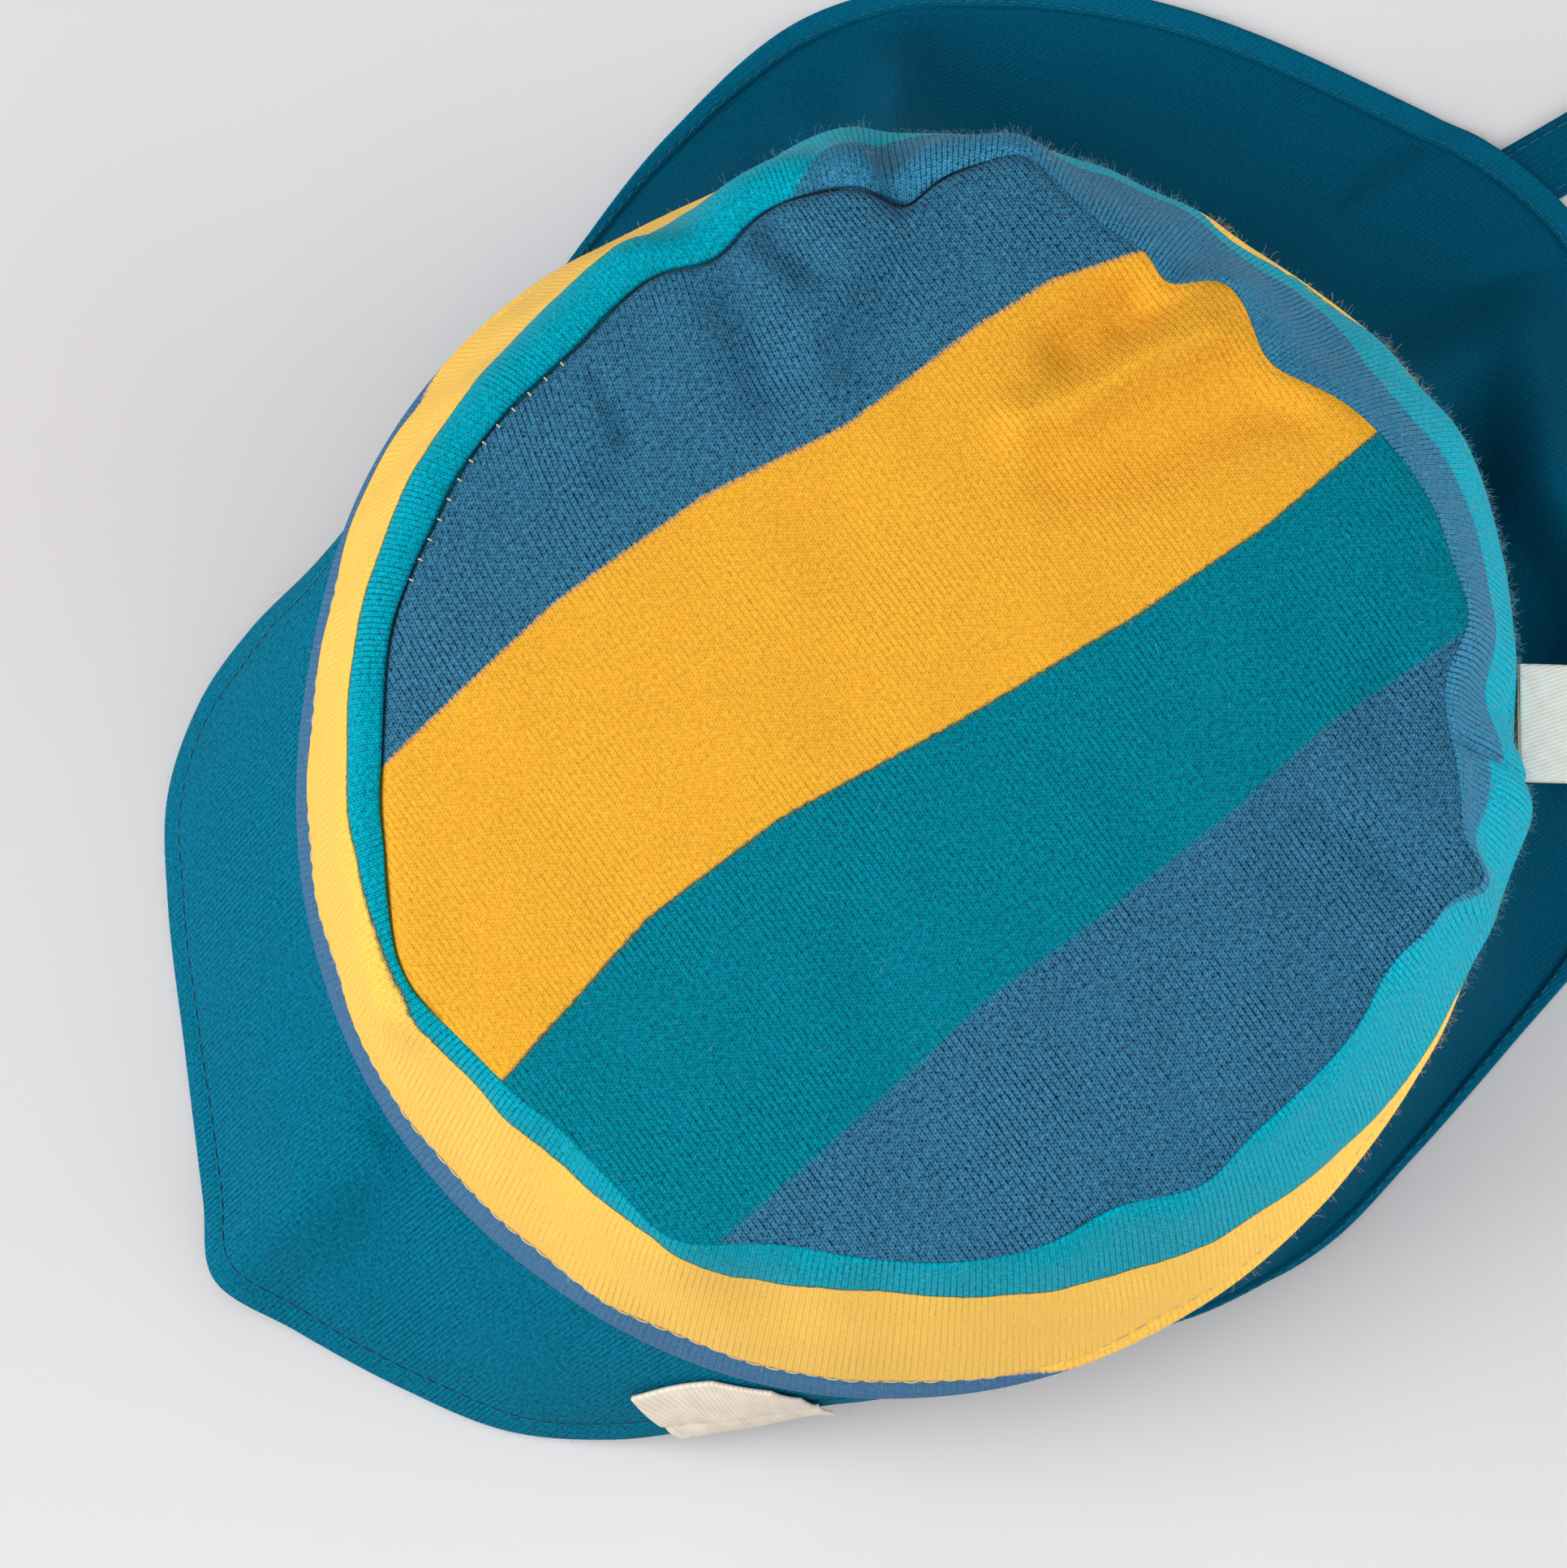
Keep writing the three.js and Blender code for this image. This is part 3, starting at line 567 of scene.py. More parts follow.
def stripe_colours(tree, coordinate, colours, depths):
    """The stripes' colour and, in alpha, its depth: a ramp over the third cloth coordinate."""
    span = {"Value": coordinate, "From Min": STRIPES_FROM, "From Max": STRIPES_FROM + STRIPES_SPAN}
    share = add(tree, "ShaderNodeMapRange", span)
    ramp = add(tree, "ShaderNodeValToRGB", {0: share})
    stops = [(STRIPES_FROM, colours[0], depths[0])]
    for edge, half, before, after in ((0, 0.6, 0, 1), (40, 0.4, 1, 2), (80, 0.3, 2, 3)):
        stops.append((edge - half, colours[before], depths[before]))
        stops.append((edge + half, colours[after], depths[after]))
    # Where teal yarn shows through the first yellow rows the edge is a dark green line.
    stops.insert(4, (40.0, SHOW_THROUGH, depths[1]))
    elements = ramp.color_ramp.elements
    while len(elements) < len(stops):
        elements.new(0.5)
    for element, (place, code, depth) in zip(elements, stops):
        element.position = (place - STRIPES_FROM) / STRIPES_SPAN
        element.color = linear(code)[:3] + [depth]
    return ramp.outputs["Color"], ramp.outputs["Alpha"]


def striped(colours, depths):
    def colour(tree, place, loops):
        split = add(tree, "ShaderNodeSeparateXYZ", {0: place.outputs["Vector"]})
        over = add(tree, "ShaderNodeMath", {0: split.outputs[2], 1: loops.outputs["Ragged"]}, operation="ADD")
        return stripe_colours(tree, over.outputs[0], colours, depths)

    return colour


def plain(single, painted_lighter_hem, depth):
    """One dye, painted a little paler on the hem, where the cloth has two plies: painted light. The third
    cloth coordinate says where.
    """

    def colour(tree, place, loops):
        split = add(tree, "ShaderNodeSeparateXYZ", {0: place.outputs["Vector"]})
        dyes = {6: linear(single), 7: linear(painted_lighter_hem), 0: split.outputs[2]}
        tint = add(tree, "ShaderNodeMix", dyes, data_type="RGBA")
        return tint.outputs[2], depth

    return colour


PETROL = "#00687f"
tip_jersey = jersey("yarn_dyed_striped_cotton_jersey_tip", striped(TIP_COLOURS, TIP_DEPTHS))
band_jersey = jersey("yarn_dyed_striped_cotton_jersey_band", striped(BAND_COLOURS_PAINTED_PALER, BAND_DEPTHS), painted_sheen=0.26)
peak_jersey = jersey("piece_dyed_cotton_jersey_peak", plain("#006a86", "#006a86", 0.4), PETROL)
# The flap's and ties' petrol is the peak's painted darker, though all are the same jersey: painted shade.
flap_jersey = jersey("piece_dyed_cotton_jersey_flap", plain("#004f6a", "#005e7c", 0.18), PETROL)
print("jersey ribs every", RIB, "mm, courses every", COURSE, "mm")

# %% [markdown]
# ## The band
#
# One strip of striped jersey goes round the head and is joined at the back, near the folded label, so
# the stripes jump there. Its foot is turned up and topstitched, which leaves a small step. How far each
# stripe's edge lies below the seam changes round the head, because the strip is cut on a curve, so it is
# a table.

# %% The band's face
JOIN_TURN = 43.0
TOPSTITCH = [
    (-179, 0.072), (-165, 0.059), (-150, 0.049), (-140, 0.04), (-132, 0.031), (-120, 0.037),
    (-105, 0.045), (-80, 0.07), (60, 0.09), (90, 0.1), (110, 0.062), (120, 0.055), (128, 0.07),
    (136, 0.089), (148, 0.105), (156, 0.112), (165, 0.104), (172, 0.096),
]


def band_face(turn, rise):
    """Outer face of the band. rise is 0 at the foot and 1 at the seam."""
    turn, rise = np.broadcast_arrays(np.asarray(turn, float), np.asarray(rise, float))
    foot, seam, step = around(turn, CROWN, FOOT), seam_radius(turn), around(turn, CROWN, STEP)
    stitched = by_turn(turn, TOPSTITCH)
    bulge = bumps(turn, BULGES)
    belly = np.sin(math.pi * np.minimum(1, rise * 1.15) ** 0.8)
    radius = foot - step * smoothstep(stitched - 0.035, stitched + 0.012, rise)
    radius = radius - (foot - step - seam) * rise**WALL_CURVE + bulge * belly
    away = (1 - rise) * (SEAM_HEIGHT - BASE_HEIGHT)
    puff = around(turn, CROWN, PUFF) * bump(np.maximum(0, away - 5.0), 4.8) * smoothstep(0.2, 5.0, away)
    opened = by_turn(turn, GROOVE_OPEN)
    radius = radius - ROLL_OVER * opened * bump(away - 1.3, 1.1)
    radius = radius + SHOULDER * opened * smoothstep(0.5, 8, away) * bump(np.maximum(0, away - 8), 16)
    upper = bumps(turn, UPPER_BULGES) * bump(rise - 0.5, 0.25)
    points = at(turn, radius + upper, 0.0)
    points[..., 2] = BASE_HEIGHT + (SEAM_HEIGHT - BASE_HEIGHT) * rise + puff + LEAN * points[..., 1]
    ease = ripple(turn, away) * smoothstep(0, 0.6, away)
    outward = at(turn, 1.0, 0.0)
    points = points + outward * (ease * 0.75)[..., None]
    points[..., 2] += ease * 0.45 - groove(turn, away)
    return points


MITRE = math.radians(28)


def mitre(turn):
    """At the seam both walls are cut off along the same slant, so they don't cross."""
    return unit(at(turn, math.sin(MITRE), math.cos(MITRE)))


BAND_WALL = 1.8
# A flat strip's length and the radius that it is wound round, for patterns that follow the wall.
WALL_LENGTH, WALL_RADIUS = 62, 78
# Short folds pressed into the band below the seam: turn, depth, spread in degrees.
BAND_CREASES = [(-58.5, 1.5, 1.4), (-66, 0.6, 2.0), (-36, 0.6, 2.2), (-12, 0.8, 2.5), (62, 0.7, 2.4)]
join_columns = np.array([0.12, 0.26, 0.45, 0.7])
even = np.linspace(1.0, 359.0, 520)
turns = JOIN_TURN + np.concatenate([[0], join_columns, even, 360 - join_columns[::-1]])
rises = 1 - stretches((0, 0.04, 22), (0.04, 0.1, 14), (0.1, 0.8, 34), (0.8, 1, 16))
rises = rises * (1 - 0.014) + 0.014
T, R = np.meshgrid(turns, rises, indexing="ij")
outer = band_face(T, R)

# Stray unevenness of the wall, and the narrow valley of the join.
uneven = waves(5, 9, 14, 38)
normals = face_normals(outer, True)
valley = bump(between(T, JOIN_TURN), 0.42) * 0.9 + bump(between(T, JOIN_TURN), 1.6) * 0.5
calm = smoothstep(0, 5, (1 - R) * WALL_LENGTH) * smoothstep(0.0, 0.1, R)
pressed = bumps(T, BAND_CREASES) * smoothstep(0.45, 0.9, R)
relief = 0.28 * uneven(np.radians(T) * WALL_RADIUS, R * WALL_LENGTH) * calm
relief = relief - (valley + pressed) * smoothstep(1, 0.97, R)
outer = outer + normals * relief[..., None]

# Topstitching pulls a shallow channel.
STITCHES_ABOVE = 0.006
channel = 0.45 * bump(R - by_turn(T, TOPSTITCH) - STITCHES_ABOVE, 0.012)
outer = outer - normals * channel[..., None]
band_outer, band_turns, band_rises = outer, turns, rises

blend = smoothstep(0.88, 1.0, R)[..., None]
inward = unit(unit(-face_normals(outer, True)) * (1 - blend) - mitre(T) * blend)
inner = outer + inward * BAND_WALL
rings = cloth_wall(outer, inner, BAND_WALL)

# %% [markdown]
# The stripes of the band: for each turn, how many millimetres below the seam blue turns to teal, teal to
# yellow and yellow to blue. The rows stop and start again at the join.

# %% The band's stripes and mesh
BLUE_TEAL = [
    (43.1, 17.6), (46, 16.2), (48, 15.3), (50, 13.5), (52, 9.8), (56, 6), (60, 3), (66, 0), (80, -6),
    (100, -14), (120, -26), (150, -34), (180, -32), (-160, -22), (-140, -15), (-120, -11), (-100, -4),
    (-86, -2), (-76, -0.5), (-71.5, 0.6), (-68, 4.2), (-65.5, 8.5), (-63, 14), (-60.5, 21), (-58, 25),
    (-54, 30), (-45, 32), (-40, 28.6), (-36, 30.1), (-32, 35.4), (-28, 40), (-24, 42), (-20, 42),
    (-16, 39.9), (-12, 42), (-8, 41), (-4, 34), (0, 23.7), (4, 16.9), (8, 15.2), (12, 17), (16, 17.4),
    (20, 19), (24, 19.6), (28, 18.4), (32, 22.8), (36, 26.5), (42.9, 28),
]
TEAL_YELLOW = [
    (43.1, 62), (60, 62), (64, 50.3), (68, 51.8), (72, 49.5), (76, 46.3), (80, 45.3), (84, 41.3),
    (88, 35.2), (92, 31.5), (96, 28.3), (100, 25.7), (104, 26.4), (108, 24.5), (112, 18.4),
    (116, 15.8), (120, 13.5), (124, 11.2), (128, 11), (132, 10), (136, 9.6), (140, 13.2), (144, 12.7),
    (148, 6.2), (152, 3.3), (156, 4.7), (160, 6.8), (164, 8.4), (168, 6.2), (172, 5.9), (176, 5.4),
    (180, 3.9), (-176, 3.1), (-172, 3.1), (-168, 4.0), (-164, 5.3), (-160, 6.1), (-156, 6.5),
    (-152, 7.3), (-148, 7.5), (-144, 7.1), (-136, 7.2), (-132, 7.4), (-128, 8.4), (-120, 8),
    (-116, 8.8), (-112, 9.4), (-108, 12.6), (-104, 16), (-100, 15.5), (-96, 12.5), (-92, 9), (-88, 10),
    (-84, 30), (-80, 36), (-76, 48), (-71.5, 52), (-60, 56), (-45, 60), (-26.5, 60), (-23, 51),
    (-20.5, 49.5), (-17.5, 51), (-14, 60), (-3, 60), (-0.5, 51.5), (2, 51.5), (4.5, 60), (15, 62),
    (42.9, 62),
]
# The foot is turned up along a blue stripe, so in front and on the left blue begins at the topstitching.
BLUE_BELOW_STITCHES = [
    (-180, 0), (-112, 0), (-104, 4), (-88, 12), (-60, 25), (0, 35), (43, 38), (76, 24), (92, 14),
    (108, 6), (116, 1), (120, 0),
]


def stripes_at(turn, below, stitched):
    """Stripe coordinate at a turn and a distance below the seam, with the topstitching's own distance."""
    first, second = by_turn(turn, BLUE_TEAL), by_turn(turn, TEAL_YELLOW)
    third = stitched + by_turn(turn, BLUE_BELOW_STITCHES)
    upper = 40 * (below - first) / (second - first)
    lower = 40 + 40 * (below - second) / (third - second)
    return np.where(below < second, upper, lower)


lengths = np.linalg.norm(np.diff(outer, axis=1), axis=-1)
below = np.concatenate([np.zeros((len(turns), 1)), np.cumsum(lengths, 1)], 1)
strip_turn = JOIN_TURN + np.clip(np.append(turns - JOIN_TURN, 360), 0.05, 359.95)
stitch_rise = by_turn(turns, TOPSTITCH) + STITCHES_ABOVE
stitched = np.array([np.interp(-rise, -rises, row) for rise, row in zip(stitch_rise, below)])
stitched = np.append(stitched, stitched[0])
MEAN_RADIUS = 74
girth = np.radians(np.append(turns, JOIN_TURN + 360) - JOIN_TURN) * MEAN_RADIUS
below_all = np.concatenate([below, below[:1]], 0)
stripes = stripes_at(strip_turn[:, None], below_all, stitched[:, None])
cloth = lying(girth[:, None], below_all, stripes, outer.shape[1], rings.shape[1])
# The side that is brushed by hands and hair has the most loose fibres. The same table paints the band paler
# there: painted sheen on its far side, seen at a grazing angle.
FUZZ_AND_SHEEN = [(-180, 0.1), (-85, 0.1), (-60, 0.8), (-40, 1.6), (0, 2.3), (60, 2.3), (100, 0.8), (140, 0.2)]
hair = by_turn(turns, FUZZ_AND_SHEEN)[:, None]
band = ring_mesh("crown_band_jersey", rings, cloth, wraps=True, shown=outer.shape[1] + 3, hair=hair)
band.data.materials.append(band_jersey)
measure("band", band)

# %% [markdown]
# ## The tip
#
# The oval on top is lightly domed over the head's hollow. Its folds are soft ridges and creases, each
# drawn between two places on the plan. It is built as rings round its middle, close together near the
# seam, where it turns down into the groove.

# %% The tip's face
TIP_WALL = 1.8
TIP_DOME = 6.0
SEAM_GAP = 0.28
# From one plan place to another: rise (a crease where it is below zero) and spread.
TIP_FOLDS = [
    (-17.5, 27, -12, 54, 3.0, 3.2), (-22, 37, -23, 53, -2.6, 3.4), (-9, 27, -2, 54, -2.6, 4.6),
    (-47, -9, -43, -17, -1.6, 2.5), (40, -35, 27, -28, -1.3, 6), (59, 34, 46, 22, -2.4, 5),
    (-52, 8, -40, 4, -2.4, 4), (-40, 22, -36, 15, -1.6, 3.5),
]
TIP_CREASES = [
    (-54, -11.5, -49, -12.5, -0.9, 1.3), (-49, -12.5, -45, -13.5, -0.9, 1.5),
    (-47, 31, -42, 12, 2.6, 3.0), (-55, 15.5, -48, 17.5, -2.2, 2.6), (-45, -38, -46.6, -33, 0.65, 1.2),
    (-18, 56, -13.5, 32, 1.4, 2.4), (-19, 53, -20, 44, -1.3, 2.0), (-8.5, 55, -9.2, 49, -1.3, 2.2),
    (38, 39, 33.6, 45, -1.4, 3.0), (42.7, 26.9, 55.2, 32.3, -1.8, 2.0),
    (55.2, 32.5, 61.7, 36.3, 1.5, 2.0),
]


def fold_height(x, y, folds):
    total = 0.0
    for x0, y0, x1, y1, rise, spread in folds:
        dx, dy = x1 - x0, y1 - y0
        t = np.clip(((x - x0) * dx + (y - y0) * dy) / (dx * dx + dy * dy), 0, 1)
        total = total + rise * bump(np.hypot(x - x0 - t * dx, y - y0 - t * dy), spread)
    return total


tip_uneven = waves(11, 10, 16, 46)
tip_fine = waves(12, 12, 5, 12)


def tip_face(turn, spread):
    """Outer face of the tip. spread is 0 at its middle and 1 at the seam."""
    radius = (seam_radius(turn) - SEAM_GAP) * spread
    points = at(turn, radius, 0.0)
    x, y = points[..., 0], points[..., 1]
    away = (1 - spread) * seam_radius(turn)
    dome = TIP_DOME * (1 - spread**2.2)
    folds = fold_height(x, y, TIP_FOLDS) * smoothstep(1, 0.9, spread)
    folds = folds + fold_height(x, y, TIP_CREASES) * smoothstep(0, 4, away)
    loose = 0.30 * tip_uneven(x, y) * smoothstep(0, 9, away) + 0.05 * tip_fine(x, y)
    ease = ripple(turn, away) * 0.9 * smoothstep(0, 0.6, away)
    points[..., 2] = SEAM_HEIGHT + LEAN * y + dome + folds + loose + ease - groove(turn, away)
    return points


TIP_COLUMNS = 460
turns = np.arange(TIP_COLUMNS) * 360 / TIP_COLUMNS
spreads = stretches((0.02, 0.84, 46), (0.84, 0.96, 14), (0.96, 1, 18))
T, R = np.meshgrid(turns, spreads, indexing="ij")
outer = tip_face(T, R)
upward = face_normals(outer, True)
blend = smoothstep(0.87, 1.0, R)[..., None]
inner = outer - unit(upward * (1 - blend) + mitre(T) * blend) * TIP_WALL
places = np.concatenate([outer, inner[:, ::-1]], 1)

# Stripe edges on the tip, by the plan's y: x of blue to teal, teal to yellow, yellow to blue.
TIP_BLUE_TEAL = [(-63, 41.7), (-37, 39.3), (-18, 37.1), (-5, 37.2), (19, 36.2), (35, 34.4), (50, 34.9)]
TIP_TEAL_YELLOW = [(-71, 10), (-46, 4.8), (-26, 4.6), (-2, 7.9), (23, 10.2), (43, 10.6), (61, 9.1)]
TIP_YELLOW_BLUE = [(-60, -30), (-33, -33.2), (-11, -33), (9, -29.6), (29, -30.1), (40, -29.5), (51, -26.3)]


def by_place(y, rows):
    return np.interp(y, [row[0] for row in rows], [row[1] for row in rows])


def tip_stripes(x, y):
    first, second, third = (by_place(y, rows) for rows in (TIP_BLUE_TEAL, TIP_TEAL_YELLOW, TIP_YELLOW_BLUE))
    right = 40 * (first - x) / (first - second)
    left = 40 + 40 * (second - x) / (second - third)
    return np.where(x > second, right, left)


lies = np.concatenate([outer, outer[:, ::-1]], 1)
lies = np.concatenate([lies, lies[:1]], 0)
# The ribs run straight across the tip, except that they swing forward on its left.
swing = -0.006 * np.minimum(lies[..., 0] + 28, 0) ** 2 * smoothstep(30, 5, lies[..., 1])
cloth = np.stack([lies[..., 1] + swing, lies[..., 0], tip_stripes(lies[..., 0], lies[..., 1])], -1)
tip = ring_mesh("crown_tip_jersey", places, cloth, wraps=True, shown=outer.shape[1] - 4, centred=True)
tip.data.materials.append(tip_jersey)
measure("tip", tip)

# %% [markdown]
# ## Curves through an edge
#
# The peak and the flap each hang between the band's foot and a free edge. The edge is a table of a few
# places, joined by a centripetal curve, which doesn't overshoot where places are close together. It is
# the same curve as the solids use, walked in even steps.

# %% An even walk along an edge
def edge_walk(places, count):
    """count even places along the smooth curve through places, and where each lies on it from 0 to 1."""
    places = np.asarray(places, float)
    spans = len(places) - 1
    ends = [2 * places[0] - places[1], *places, 2 * places[-1] - places[-2]]
    fine = np.linspace(0, 1, 6000)
    index = np.minimum((fine * spans).astype(int), spans - 1)
    w = (fine * spans - index)[:, None]
    p0, p1, p2, p3 = (np.asarray(ends)[index + k] for k in range(4))
    pairs = ((p0, p1), (p1, p2), (p2, p3))
    d0, d1, d2 = (np.sqrt(np.linalg.norm(b - a, axis=-1, keepdims=True)) for a, b in pairs)
    leave = ((p1 - p0) / d0 - (p2 - p0) / (d0 + d1) + (p2 - p1) / d1) * d1
    reach = ((p2 - p1) / d1 - (p3 - p1) / (d1 + d2) + (p3 - p2) / d2) * d1
    square, cube = -3 * p1 + 3 * p2 - 2 * leave - reach, 2 * p1 - 2 * p2 + leave + reach
    curve = p1 + leave * w + square * w**2 + cube * w**3
    walked = np.concatenate([[0], np.cumsum(np.linalg.norm(np.diff(curve, axis=0), axis=-1))])
    even = np.linspace(0, walked[-1], count)
    along = np.interp(even, walked, fine)
    points = np.stack([np.interp(even, walked, curve[:, k]) for k in range(3)], -1)
    return points, along


def turn_of(points):
    return np.degrees(np.arctan2(points[..., 0], points[..., 1]))


UNDER_FOOT = 0.3


def foot_points(turn, inset=0.4):
    """Where a piece sewn to the band's foot begins."""
    points = at(turn, around(turn, CROWN, FOOT) - inset, 0.0)
    points[..., 2] = BASE_HEIGHT + LEAN * points[..., 1] - UNDER_FOOT
    return points


FAN = 0.25


def hanging_cloth(outer, root, turn):
    """Cloth coordinates of a piece that hangs from a seam: ribs run fore and aft, and fan out a little
    because the flat cloth is laid out straight away from the seam."""
    steps = np.linalg.norm(np.diff(outer, axis=1), axis=-1)
    down = np.concatenate([np.zeros((len(outer), 1)), np.cumsum(steps, 1)], 1)
    angle = np.radians(turn)[:, None]
    fan_x, fan_y = root[:, None, 0] + down * np.sin(angle), root[:, None, 1] + down * np.cos(angle)
    return outer[..., 0] * (1 - FAN) + fan_x * FAN, outer[..., 1] * (1 - FAN) + fan_y * FAN


def slant_of(edge, root):
    """How squarely the lines from the seam meet the edge: 1 where they meet it at a right angle."""
    return np.linalg.norm(np.cross(unit(np.gradient(edge, axis=0)), unit(edge - root)), axis=-1)


print("foot height in front and behind:", foot_points(np.array([180.0, 0.0]))[:, 2].round(1).tolist())

# %% [markdown]
# ## The peak
#
# Two plies of jersey, sewn along the edge, turned and topstitched 5 mm in. The peak is soft, so it keeps
# a crease down its middle and lies on the table at both sides of it.

# %% The peak's face
PEAK_WALL = 2.2
PEAK_EDGE = [
    (125, 87.0, 34), (130, 88.6, 27.5), (134, 90.0, 22), (138.5, 92.8, 16), (144, 97.2, 9.5),
    (150, 102.6, 3.4), (157, 108.0, 1.3), (165, 111.6, 1.1), (173, 115.8, 2.2), (179, 119.8, 3.8),
    (184, 115.0, 2.4), (194, 108.2, 1.1), (205, 104.8, 1.1), (213, 103.2, 1.3), (220, 99.0, 4),
    (226, 92.4, 14), (232, 84.6, 26), (237, 80.4, 33),
]
PEAK_STITCH_IN = 5.0
PEAK_COLUMNS = 330

peak_edge, peak_along = edge_walk([at(t, r, h) for t, r, h in PEAK_EDGE], PEAK_COLUMNS)
peak_turn = turn_of(peak_edge)
peak_root = foot_points(peak_turn)
peak_reach = np.linalg.norm(peak_edge - peak_root, axis=-1)


def peak_face(out):
    """Upper face of the peak for every column. out is 0 at the seam and 1 at the edge."""
    out = out[None, :] * (1 - PEAK_WALL / 2 / peak_reach[:, None])
    points = peak_root[:, None] + (peak_edge - peak_root)[:, None] * out[..., None]
    arch = np.sin(math.pi * peak_along)[:, None] ** 0.5
    crease = 5.0 * bump(between(peak_turn, 179), 4.2)[:, None]
    points[..., 2] += 2.5 * arch * np.sin(math.pi * out)
    points[..., 2] += crease * np.sin(math.pi * np.minimum(1, out * 0.75 + 0.1)) * smoothstep(0, 0.15, out)
    return points, out


outs = stretches((0, 0.12, 8), (0.12, 0.7, 22), (0.7, 1, 26))
outer, share = peak_face(outs)
from_edge = (1 - share) * (peak_reach * slant_of(peak_edge, peak_root))[:, None]
normals = face_normals(outer, False)
peak_uneven = waves(21, 9, 12, 30)
relief = 0.22 * peak_uneven(outer[..., 0], outer[..., 1])
relief = relief * smoothstep(1.5, 8, from_edge) * smoothstep(0, 0.1, share)
relief = relief - 0.5 * bump(from_edge - PEAK_STITCH_IN, 0.75) * smoothstep(0.02, 0.3, share)
outer = outer + normals * relief[..., None]
normals = face_normals(outer, False)
inner = outer - normals * PEAK_WALL
inner[..., 2] = np.maximum(inner[..., 2], 0)
rings = cloth_wall(outer, inner, PEAK_WALL)
rings[..., 2] = np.maximum(rings[..., 2], 0)
u, v = hanging_cloth(outer, peak_root, peak_turn)
cloth = lying(u * RIB / PLAIN_RIB, v, 0 * u, outer.shape[1], rings.shape[1])
peak = ring_mesh("peak_jersey", rings, cloth, wraps=False, shown=outer.shape[1] + 3, caps=outer.shape[1])
peak.data.materials.append(peak_jersey)
peak_outer, peak_normals, peak_from_edge = outer, normals, from_edge
measure("peak", peak)

# %% [markdown]
# ## The ties
#
# Two flat strips of jersey, folded and sewn along their edges. One runs under the hat and out from under
# the hem at the back, and the other lies in a loose bow of its own under the crown. Both are as long as
# one of them shows. A tie is a ribbon swept along its middle line, laid on the table.

# %% The ties' middle lines
TIE_WIDTH = 10.0
TIE_WALL = 1.5
TIES = {
    "tie_left": [
        (-74.0, -14, 40), (-73.6, -14, 30), (-72.0, -14, 15), (-67.5, -14, 4), (-60.5, -13, 0),
        (-48, -8, 0), (-33, 12, 0), (-23, 50, 0), (-19, 84, 0), (-16.2, 112, 0), (-14.6, 128, 0),
        (-13, 146, 0), (-12, 158, 0),
    ],
    "tie_right": [
        (80.6, -14, 40), (80.0, -14, 30), (78.2, -14, 15), (74, -14, 4), (66, -14.5, 0), (52, -18, 0),
        (34, -30, 0), (12, -46, 0), (-14, -56, 0), (-42, -54, 0),
    ],
}
TIE_COLUMNS = 180
OVER_TIE = 0.6  # air between a tie and the flap that crosses it


def tie_middle(route):
    points, _ = edge_walk(route, TIE_COLUMNS)
    points[:, 2] = np.maximum(points[:, 2], 0)
    return points


tie_lines = {name: tie_middle(route) for name, route in TIES.items()}


def ground_height(points):
    """What lies under the flap: the table, or a tie on it."""
    low = np.concatenate([line[line[:, 2] < 1][:, :2] for line in tie_lines.values()])
    plan = points[..., :2].reshape(-1, 2)
    away = np.full(len(plan), 1e9)
    for place in low:
        away = np.minimum(away, np.hypot(plan[:, 0] - place[0], plan[:, 1] - place[1]))
    beside = away.reshape(points.shape[:-1]) - TIE_WIDTH / 2
    return (TIE_WALL + OVER_TIE) * smoothstep(8, 2.5, beside)


TIE_FLAT, TIE_ROUND = 0.85, 0.15  # shares of the half width that are flat and in the rounded edge
TIE_CORNER = 0.74  # the last place on the flat face, before it is stretched to the flat share
TIE_STITCHES = 3.7  # from the middle line to the rows of stitches


def tie_ribbon(name):
    """The ribbon's rings: its upper face, a rounded edge, its lower face and the other edge."""
    line = tie_lines[name]
    along = unit(np.gradient(line, axis=0))
    flat = unit(np.stack([along[:, 1], -along[:, 0], 0 * along[:, 0]], -1) + 1e-9)
    hanging = np.array([0, -1.0 if line[0, 0] < 0 else 1.0, 0])
    k = smoothstep(0.02, 0.3, np.linspace(0, 1, len(line)))[:, None]
    side = unit(hanging * (1 - k) + flat * k)
    up = unit(np.cross(side, along))
    half = TIE_WIDTH / 2
    across = np.linspace(TIE_CORNER, -TIE_CORNER, 25)
    thick = TIE_WALL * (1 - 0.16 * bump(np.abs(across * half) - TIE_STITCHES, 0.5))
    rim = np.linspace(0, math.pi, RIM_STEPS + 2)[1:-1]

    def face(places, lifts):
        stretch = half / TIE_CORNER * TIE_FLAT
        return [line + side * (place * stretch) + up * lift for place, lift in zip(places, lifts)]

    def edge(sign, angles):
        reaches = [half * TIE_FLAT + half * TIE_ROUND * math.sin(angle) for angle in angles]
        lifts = [TIE_WALL * (1 + math.cos(angle)) / 2 for angle in angles]
        return [line + side * sign * reach + up * lift for reach, lift in zip(reaches, lifts)]

    rows = face(across, thick) + edge(-1, rim) + face(across[::-1], 0 * across) + edge(1, rim[::-1])
    rings = np.stack(rows, 1)
    rings[..., 2] = np.maximum(rings[..., 2], 0)
    walked = np.concatenate([[0], np.cumsum(np.linalg.norm(np.diff(line, axis=0), axis=-1))])
    offset = np.einsum("ikc,ic->ik", rings - line[:, None], side)
    cloth = np.stack([offset, np.repeat(walked[:, None], rings.shape[1], 1), 0 * offset], -1)
    return rings, cloth, line, side, up


